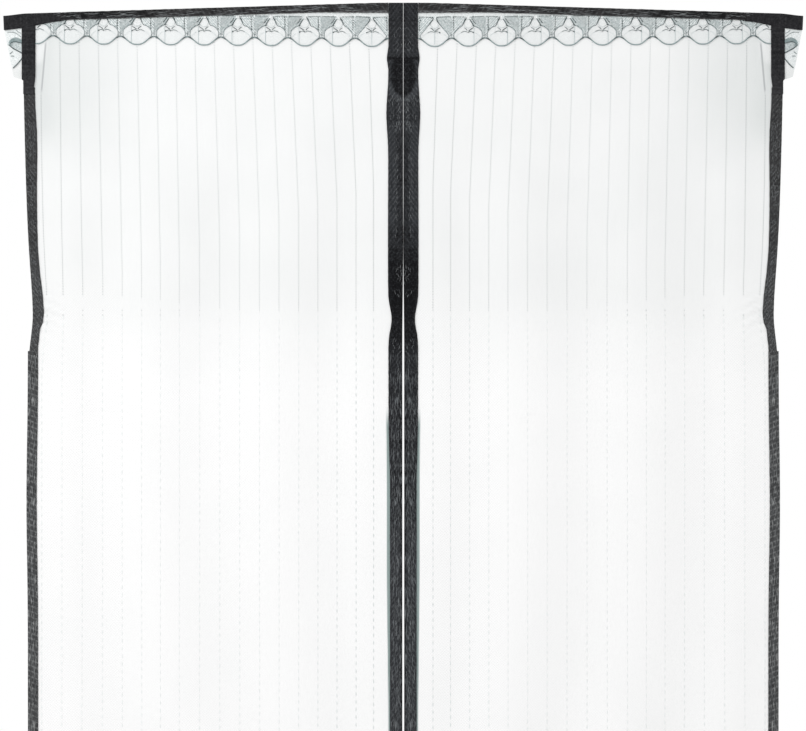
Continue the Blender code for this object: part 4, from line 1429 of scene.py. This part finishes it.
def strap_cover(surface):
    rows = 70
    columns = 12
    shares = np.linspace(0, 1, columns)[None, :]
    drops = np.linspace(0, 1, rows)[:, None]
    top = EAR_LEVEL + 0.0002
    z = blend(STRAP_BOTTOM, top, drops)
    foot = 0.0019 * (1 - smooth_step((z - EAR_BOTTOM + 0.002) / 0.002))
    outer = STRAP_OUTER - foot + frayed(z, 41, 0.00015)
    inner = STRAP_INNER + 0.0009 - 0.0018 * rising(z, 1.990, 0.020) + frayed(z, 42, 0.00015)
    u = blend(inner, outer, shares)
    line = header_bottom(u) - EAR_LEVEL
    z = z + line * drops + 0 * u
    face = -(LACE_ROOM + TAPE_THICKNESS) + 0.00008 * ripple(z + u, 0.02, 43)
    face = face + 0.00025 * (np.abs(2 * shares - 1) > 0.99)
    front = np.stack([u, face, z], axis=-1)
    back = np.stack([u, np.full(u.shape, -LACE_ROOM), z], axis=-1)
    flat = np.stack([u, z], axis=-1)
    tone = 0.24 + 0.24 * falling(z, 2.03, 0.04) + 0.08 * ripple(z, 0.03, 44)
    paints = {"streaks": 0.05, "tone": tone}
    return closed_cloth("strap_cover_left", front, back, flat, surface, paints)


def binding_cover(name, surface, along, fold, width, streaks, tone, seed):
    def edge(z):
        return width(z) + frayed(z, seed, 0.0002)

    def place(across, y, z):
        return fold(z) - across + 0.00012 * ripple(z, 0.016, seed + 2), y, z

    def relief(across, z):
        near = bell(z - PINCH_HEIGHT, 0.016)
        puckers = 0.0004 * near * np.sin(math.tau * (z - 0.6 * across) / 0.0068)
        return puckers + 0.00008 * ripple(z + 2 * across, 0.013, seed + 3)

    return folded_tape(
        name, surface, along, edge, edge, constant(NET_ROOM), constant(NET_ROOM), place, relief,
        {"streaks": streaks, "tone": tone}, (9, 7, 6),
    )


def upper_binding(surface):
    parts = [(BINDING_JOINT + 0.0003, 1.66, 0.003), (1.66, 1.77, 0.0016), (1.77, BINDING_TOP, 0.003)]

    def tone(signed, z):
        lighter = 0.30 * falling(z, 1.82, 0.08)
        return np.clip(0.55 + lighter + 0.12 * ripple(z, 0.05, 51), 0, 1)

    return binding_cover(
        "upper_binding_left", surface, stepped(parts, BINDING_TOP), side_fold, upper_binding_width,
        constant(0.5), tone, 52,
    )


def constant_width(z):
    return BINDING_WIDTH + 0 * z


def lower_binding(surface):
    along = np.linspace(0, BINDING_JOINT, 294)
    return binding_cover(
        "lower_binding_left", surface, along, lower_fold, constant_width, constant(0.75),
        lambda s, z: np.clip(0.75 + 0.2 * ripple(z, 0.12, 61), 0, 1), 62,
    )


# Tone of the centre band down its length, as (height, tone)
BAND_TONES = [
    (0.0, 0.78), (1.430, 0.66), (1.480, 0.38), (1.655, 0.34), (1.670, 0.20), (1.700, 0.12),
    (1.715, 0.02), (1.770, 0.04), (1.785, 0.20), (1.800, 0.32), (1.830, 0.62), (1.940, 0.64),
    (1.955, 0.44), (1.980, 0.44), (1.992, 0.66), (2.034, 0.50), (2.050, 0.46), (2.100, 0.40),
]


def beside_channel(z):
    """1 where the seam of the magnet channel is seen."""
    return falling(z, CHANNEL_TOP, 0.01) * rising(z, CHANNEL_BOTTOM, 0.01)


def band_tone(u, z):
    heights, tones = zip(*BAND_TONES)
    tone = np.interp(z, heights, tones) + 0.05 * ripple(z, 0.08, 71)
    above = np.maximum(0, (z - OVAL_MIDDLE) / OVAL_ABOVE) ** 3
    below = np.maximum(0, (OVAL_MIDDLE - z) / OVAL_BELOW) ** 2.2
    reach = (u / OVAL_WIDTH) ** 2 + above + below
    oval = smooth_step((1.08 - reach) / 0.2)
    tone = tone + 0.60 * bell(reach - 1.40, 0.25) * falling(z, 2.004, 0.01)
    seam = bell(z - SEAM_HEIGHT, 0.0016)
    channel = falling(u, CHANNEL_WIDTH, 0.0008) * beside_channel(z)
    strip = falling(u, PLAIN_STRIP_WIDTH, 0.0008) * falling(z, PLAIN_STRIP_TOP, 0.03)
    # Painted shade: the tape is darkened along its rounded fold beside the slit
    fold = bell(u, 0.0012)
    for dark, share in ((0.62, strip), (0.78, oval), (0.8, seam), (0.45, channel), (0.5, fold)):
        tone = tone * (1 - dark * share)
    return np.clip(tone, 0, 1)


def band_along():
    return stepped([(0, 1.62, 0.0064), (1.62, SCREEN_HEIGHT - 0.001, 0.0026)], SCREEN_HEIGHT)


def band_relief(across, z):
    u = across + slit_half_gap(z)
    seam = -0.0003 * bell(z - SEAM_HEIGHT, 0.0012)
    tuck = 0.0004 * bell(z - SEAM_HEIGHT - 0.004, 0.003)
    channel = -0.00018 * bell(across - CHANNEL_WIDTH, 0.0006) * falling(z, 1.99, 0.01)
    gathers = 0.00016 * bell(z - BAND_PINCH_HEIGHT, 0.02) * np.sin(math.tau * across / 0.0042)
    return seam + tuck + channel + gathers + 0.00007 * ripple(z + 3 * u, 0.01, 72)


def band_gap(across, z):
    lifted = BULGE_DEPTH * magnet_bulge(across + slit_half_gap(z), z)
    over_lace = (LACE_ROOM - NET_ROOM) * rising(z, 2.040, 0.010)
    return NET_ROOM + np.maximum(lifted, over_lace)


def band_back_gap(across, z):
    return NET_ROOM + BULGE_DEPTH * magnet_bulge(across + slit_half_gap(z), z)


def band_cover(surface):
    def width(z):
        return band_edge(z) - slit_half_gap(z) + frayed(z, 73, 0.0002)

    def place(across, y, z):
        return slit_half_gap(z) + across + 0 * z, y, z + 0 * across

    def streaks(signed, z):
        lower = 0.85 * falling(z, ROUGH_TOP, 0.02)
        middle = 0.12 * rising(z, 1.81, 0.02) * falling(z, 1.99, 0.01)
        return np.where(signed > 0, lower + middle + 0.04, 0.4)

    return folded_tape(
        "centre_band_cover_left", surface, band_along(), width, width, band_gap, band_back_gap, place,
        band_relief, {"streaks": streaks, "tone": lambda s, z: band_tone(np.abs(s), z)}, (14, 7, 9),
    )


def hem_cover(surface):
    along = np.linspace(HEM_START, HEM_END, 140)

    def height(u):
        return HEM_HEIGHT + frayed(u, 81)

    return folded_tape(
        "hem_cover_left", surface, along, height, height, constant(NET_ROOM), constant(NET_ROOM),
        lambda across, y, u: (u, y, across), lambda across, u: 0.00012 * ripple(u + across, 0.02, 82),
        {"streaks": constant(0.7), "tone": constant(0.7)}, (9, 7, 7),
    )


# Fibres and stitches on the tapes
def bed_grid(low, high, rows, inner, outer, columns):
    """Rows from low to high along a tape, and columns as shares of its width."""
    return np.meshgrid(np.linspace(low, high, rows), np.linspace(inner, outer, columns), indexing="ij")


def fibre_bed(name, u, y, z, flecks):
    """A sheet just on a tape's face on which fibres are scattered."""
    points = np.stack([u, y, z], axis=-1)
    mesh = bpy.data.meshes.new(name)
    flat = points.reshape(-1, 3) * FRAME_AXES
    mesh.from_pydata(flat.tolist(), [], grid_faces(*u.shape).tolist())
    paint = mesh.attributes.new("flecks", "FLOAT", "POINT")
    paint.data.foreach_set("value", flecks.astype(np.float32).ravel())
    return mesh


def band_bed(name, flecks):
    z, share = bed_grid(0.008, SCREEN_HEIGHT - 0.004, 700, 0.06, 0.92, 14)
    across = (band_edge(z) - slit_half_gap(z)) * share
    y = -(band_gap(across, z) + TAPE_THICKNESS + band_relief(across, z))
    u = across + slit_half_gap(z)
    return fibre_bed(name, u, y, z, flecks(u, z))


def band_flecks(surface):
    def short(u, z):
        below_magnet = falling(z, 1.990, 0.008) * rising(z, 1.938, 0.012) * bell(u - 0.007, 0.005)
        above_seam = 0.9 * rising(z, 2.036, 0.006) * falling(z, 2.076, 0.03) * bell(u - 0.005, 0.0035)
        channel = 1.6 * bell(u - 0.0086 - 0.0012 * ripple(z, 0.03, 91), 0.0008) * beside_channel(z)
        star = 1.6 * bell(z - 1.755, 0.014) * bell(u - 0.0045, 0.003)
        specks = 0.8 * bell(z - 1.673, 0.007) * bell(u - 0.006, 0.004)
        return below_magnet + above_seam + channel + star + specks

    def long(u, z):
        beside_strip = rising(u, PLAIN_STRIP_WIDTH + 0.0008, 0.0006)
        return falling(z, ROUGH_TOP, 0.02) * (0.35 + bell(u - 0.008, 0.005)) * beside_strip

    pieces = []
    settings = [
        ("short", short, dict(Density=90000.0, Length=0.0030, Width=0.00028, Bow=2.0, Tilt=0.45, Seed=2)),
        ("long", long, dict(Density=26000.0, Length=0.0085, Width=0.00024, Bow=2.5, Tilt=0.10, Seed=3)),
    ]
    for label, flecks, sizes in settings:
        bed = band_bed(f"{label}_bed", flecks)
        name = f"centre_band_{label}_fibres_left"
        pieces.append(grown(name, bed, FLECKS, surface, Lie=-math.pi / 2, **sizes))
    return pieces


def header_flecks(surface):
    u, share = bed_grid(HEADER_START, TAB_START, 200, 0.12, 0.95, 8)
    across = (header_top(u) - header_bottom(u)) * share
    y = np.full(u.shape, -(LACE_ROOM + TAPE_THICKNESS + 0.0001))
    flecks = np.clip(0.55 + 0.6 * ripple(u, 0.06, 95), 0.1, 1.2)
    bed = fibre_bed("header_bed", u, y, header_top(u) - across, flecks)
    sizes = dict(Density=36000.0, Length=0.0090, Width=0.00030, Bow=3.0, Lie=0.0, Tilt=0.16, Seed=4)
    return grown("header_fibres_left", bed, FLECKS, surface, **sizes)


def binding_flecks(surface):
    def upper(z):
        return 0.5 + 0.5 * bell(z - PINCH_HEIGHT, 0.03) + 0.3 * ripple(z, 0.05, 96)

    def lower(z):
        return 0.6 + 0.4 * ripple(z, 0.05, 97)

    upper_sizes = dict(Density=200000.0, Length=0.0026, Width=0.00030, Bow=1.5, Tilt=0.9, Seed=5)
    lower_sizes = dict(Density=32000.0, Length=0.0090, Width=0.00030, Bow=2.0, Tilt=0.08, Seed=6)
    upper_rows = (BINDING_JOINT, 1.95, 120)
    lower_rows = (0.01, BINDING_JOINT - 0.005, 300)
    settings = [
        ("upper", upper_rows, side_fold, upper_binding_width, upper, upper_sizes),
        ("lower", lower_rows, lower_fold, constant_width, lower, lower_sizes),
    ]
    pieces = []
    for label, rows, fold, width, flecks, sizes in settings:
        z, share = bed_grid(*rows, 0.1, 0.9, 6)
        u = fold(z) - width(z) * share
        y = np.full(u.shape, -(NET_ROOM + TAPE_THICKNESS + 0.00005))
        bed = fibre_bed(f"{label}_binding_bed", u, y, z, flecks(z))
        pieces.append(grown(f"{label}_binding_fibres_left", bed, FLECKS, surface, Lie=-math.pi / 2, **sizes))
    return pieces


def sewing(surface):
    """Sewing stitches along the tapes' edges."""
    front = -(NET_ROOM + TAPE_THICKNESS + 0.0001)
    z = np.linspace(0.004, BINDING_TOP - 0.012, 500)
    fold = np.where(z > BINDING_JOINT, side_fold(z), lower_fold(z))
    width = np.where(z > BINDING_JOINT, upper_binding_width(z), BINDING_WIDTH)
    side = np.stack([fold - width + 0.0016, np.full(z.shape, front), z], axis=-1)
    z = np.linspace(0.004, SCREEN_HEIGHT - 0.016, 600)
    across = band_edge(z) - slit_half_gap(z) - 0.0018
    y = -(band_gap(across, z) + TAPE_THICKNESS + band_relief(across, z) + 0.00005)
    band = np.stack([across + slit_half_gap(z), y, z], axis=-1)
    lines = [(side, 1.0, 0.5), (band, 1.0, 0.5)]
    return grown(
        "sewing_left", line_mesh("sewing_lines", lines), STITCHES, surface, Pitch=0.0030, Length=0.0024,
        Width=0.00045, Depth=0.0003,
    )


def build_screen():
    net = net_finish()
    lace = lace_finish()
    lace_thread = thread_finish("lace_thread", "9FB0B1", "4C5455")
    stripe_thread = thread_finish("stripe_thread", "B6BEBD", "868F8E")
    faint_thread = thread_finish("faint_stripe_thread", "EDF1F0", "C3CCCB")
    light_fibre = thread_finish("light_fibre", "8E9294", "505254")
    black_thread = thread_finish("black_sewing_thread", "3A3A3C", "1A1A1C")
    long_streaks = dict(Length=0.014, Width=0.0009, Waver=0.004, Share=0.35)
    header_streaks = dict(Length=0.024, Width=0.0013, Waver=0.005, Share=0.32)
    short_streaks = dict(Length=0.0028, Width=0.0007, Waver=0.003, Share=0.30)
    header = tape_finish("header_fibre_tape", "151617", "4A4849", "8C9092", header_streaks, 0.5, 0.6)
    band = tape_finish("centre_band_tape", "0E0E10", "3A3C3F", "767A7D", long_streaks, 1.0, 1.3)
    twill = tape_finish("twill_binding_tape", "1A1B1C", "424243", "8A8C8C", short_streaks, 1.0, 1.5)
    plain = tape_finish("matte_black_tape", "1B1B1D", "3F3F41", "5A5A5C", short_streaks, 0.0, 1.1, 0.88)
    lower = tape_finish("lower_binding_tape", "1E1F20", "4A4B4C", "ACAEAE", long_streaks, 0.3, 1.4)

    both_sides(net_cloth(net), "net_panel")
    for piece in stripe_stitches(stripe_thread, faint_thread):
        both_sides(piece)
    both_sides(lace_cloth(lace), "lace_trim")
    both_sides(lace_threads(lace_thread))
    both_sides(header_cover(header), "header_tape")
    both_sides(end_tab_cover(plain), "header_end_tab")
    both_sides(strap_cover(plain), "corner_strap")
    both_sides(upper_binding(twill), "side_binding_upper")
    both_sides(lower_binding(lower), "side_binding_lower")
    both_sides(band_cover(band), "centre_band")
    both_sides(hem_cover(lower), "bottom_hem")
    for piece in [*band_flecks(light_fibre), header_flecks(light_fibre), *binding_flecks(light_fibre)]:
        both_sides(piece)
    both_sides(sewing(black_thread))

    steel = magnet_finish()
    for name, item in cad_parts.items():
        if name.startswith("magnet"):
            item.data.materials.clear()
            item.data.materials.append(steel)


def build_floor():
    made, tree, shader = new_finish("pale_floor", 0.9)
    place = node(tree, "ShaderNodeTexCoord").outputs["Object"]
    clouds = placed_effect(tree, MOTTLE, place, Size=0.4)
    tree.links.new(mixed(tree, clouds, colour("F0F0F0"), colour("F6F6F6")), shader["Base Color"])
    shell = bmesh.new()
    bmesh.ops.create_circle(shell, cap_ends=True, radius=2.5, segments=96)
    bmesh.ops.translate(shell, verts=shell.verts, vec=(0, 0, -0.001))
    mesh = bpy.data.meshes.new("floor")
    shell.to_mesh(mesh)
    shell.free()
    mesh.materials.append(made)
    linked("floor", mesh)


def build_light():
    """White backdrop for the camera, soft even light and one large lamp in front."""
    world = bpy.data.worlds.new("studio")
    bpy.context.scene.world = world
    world.use_nodes = True
    tree = world.node_tree
    tree.nodes.clear()
    path = node(tree, "ShaderNodeLightPath").outputs
    seen = maths(tree, "MAXIMUM", path["Is Camera Ray"], path["Is Glossy Ray"])
    seen = maths(tree, "MAXIMUM", seen, path["Is Transmission Ray"])
    even = node(tree, "ShaderNodeBackground", {"Color": (1, 1, 1, 1), "Strength": 0.72})
    white = node(tree, "ShaderNodeBackground", {"Color": (1, 1, 1, 1), "Strength": 1.0})
    chosen = node(tree, "ShaderNodeMixShader", {0: seen, 1: even.outputs[0], 2: white.outputs[0]})
    node(tree, "ShaderNodeOutputWorld", {0: chosen.outputs[0]})

    lamp = bpy.data.lights.new("key_lamp", "AREA")
    lamp.shape = "RECTANGLE"
    lamp.size = 1.6
    lamp.size_y = 1.6
    lamp.energy = 42
    holder = linked("key_lamp", lamp)
    holder.location = (-1.4, -2.2, 3.2)
    holder.rotation_euler = (math.radians(56), 0, math.radians(-32))


def build_camera():
    data = bpy.data.cameras.new("camera")
    data.type = "PERSP"
    data.lens = LENS
    data.sensor_width = SENSOR
    data.clip_end = 50
    camera = linked("camera", data)
    camera.location = (-0.0003, -PHOTO_WIDTH * LENS / SENSOR, VIEW_HEIGHT)
    camera.rotation_euler = (math.radians(90), 0, 0)
    bpy.context.scene.camera = camera


bpy.context.scene.view_settings.view_transform = "Standard"
build_screen()
build_floor()
build_light()
build_camera()
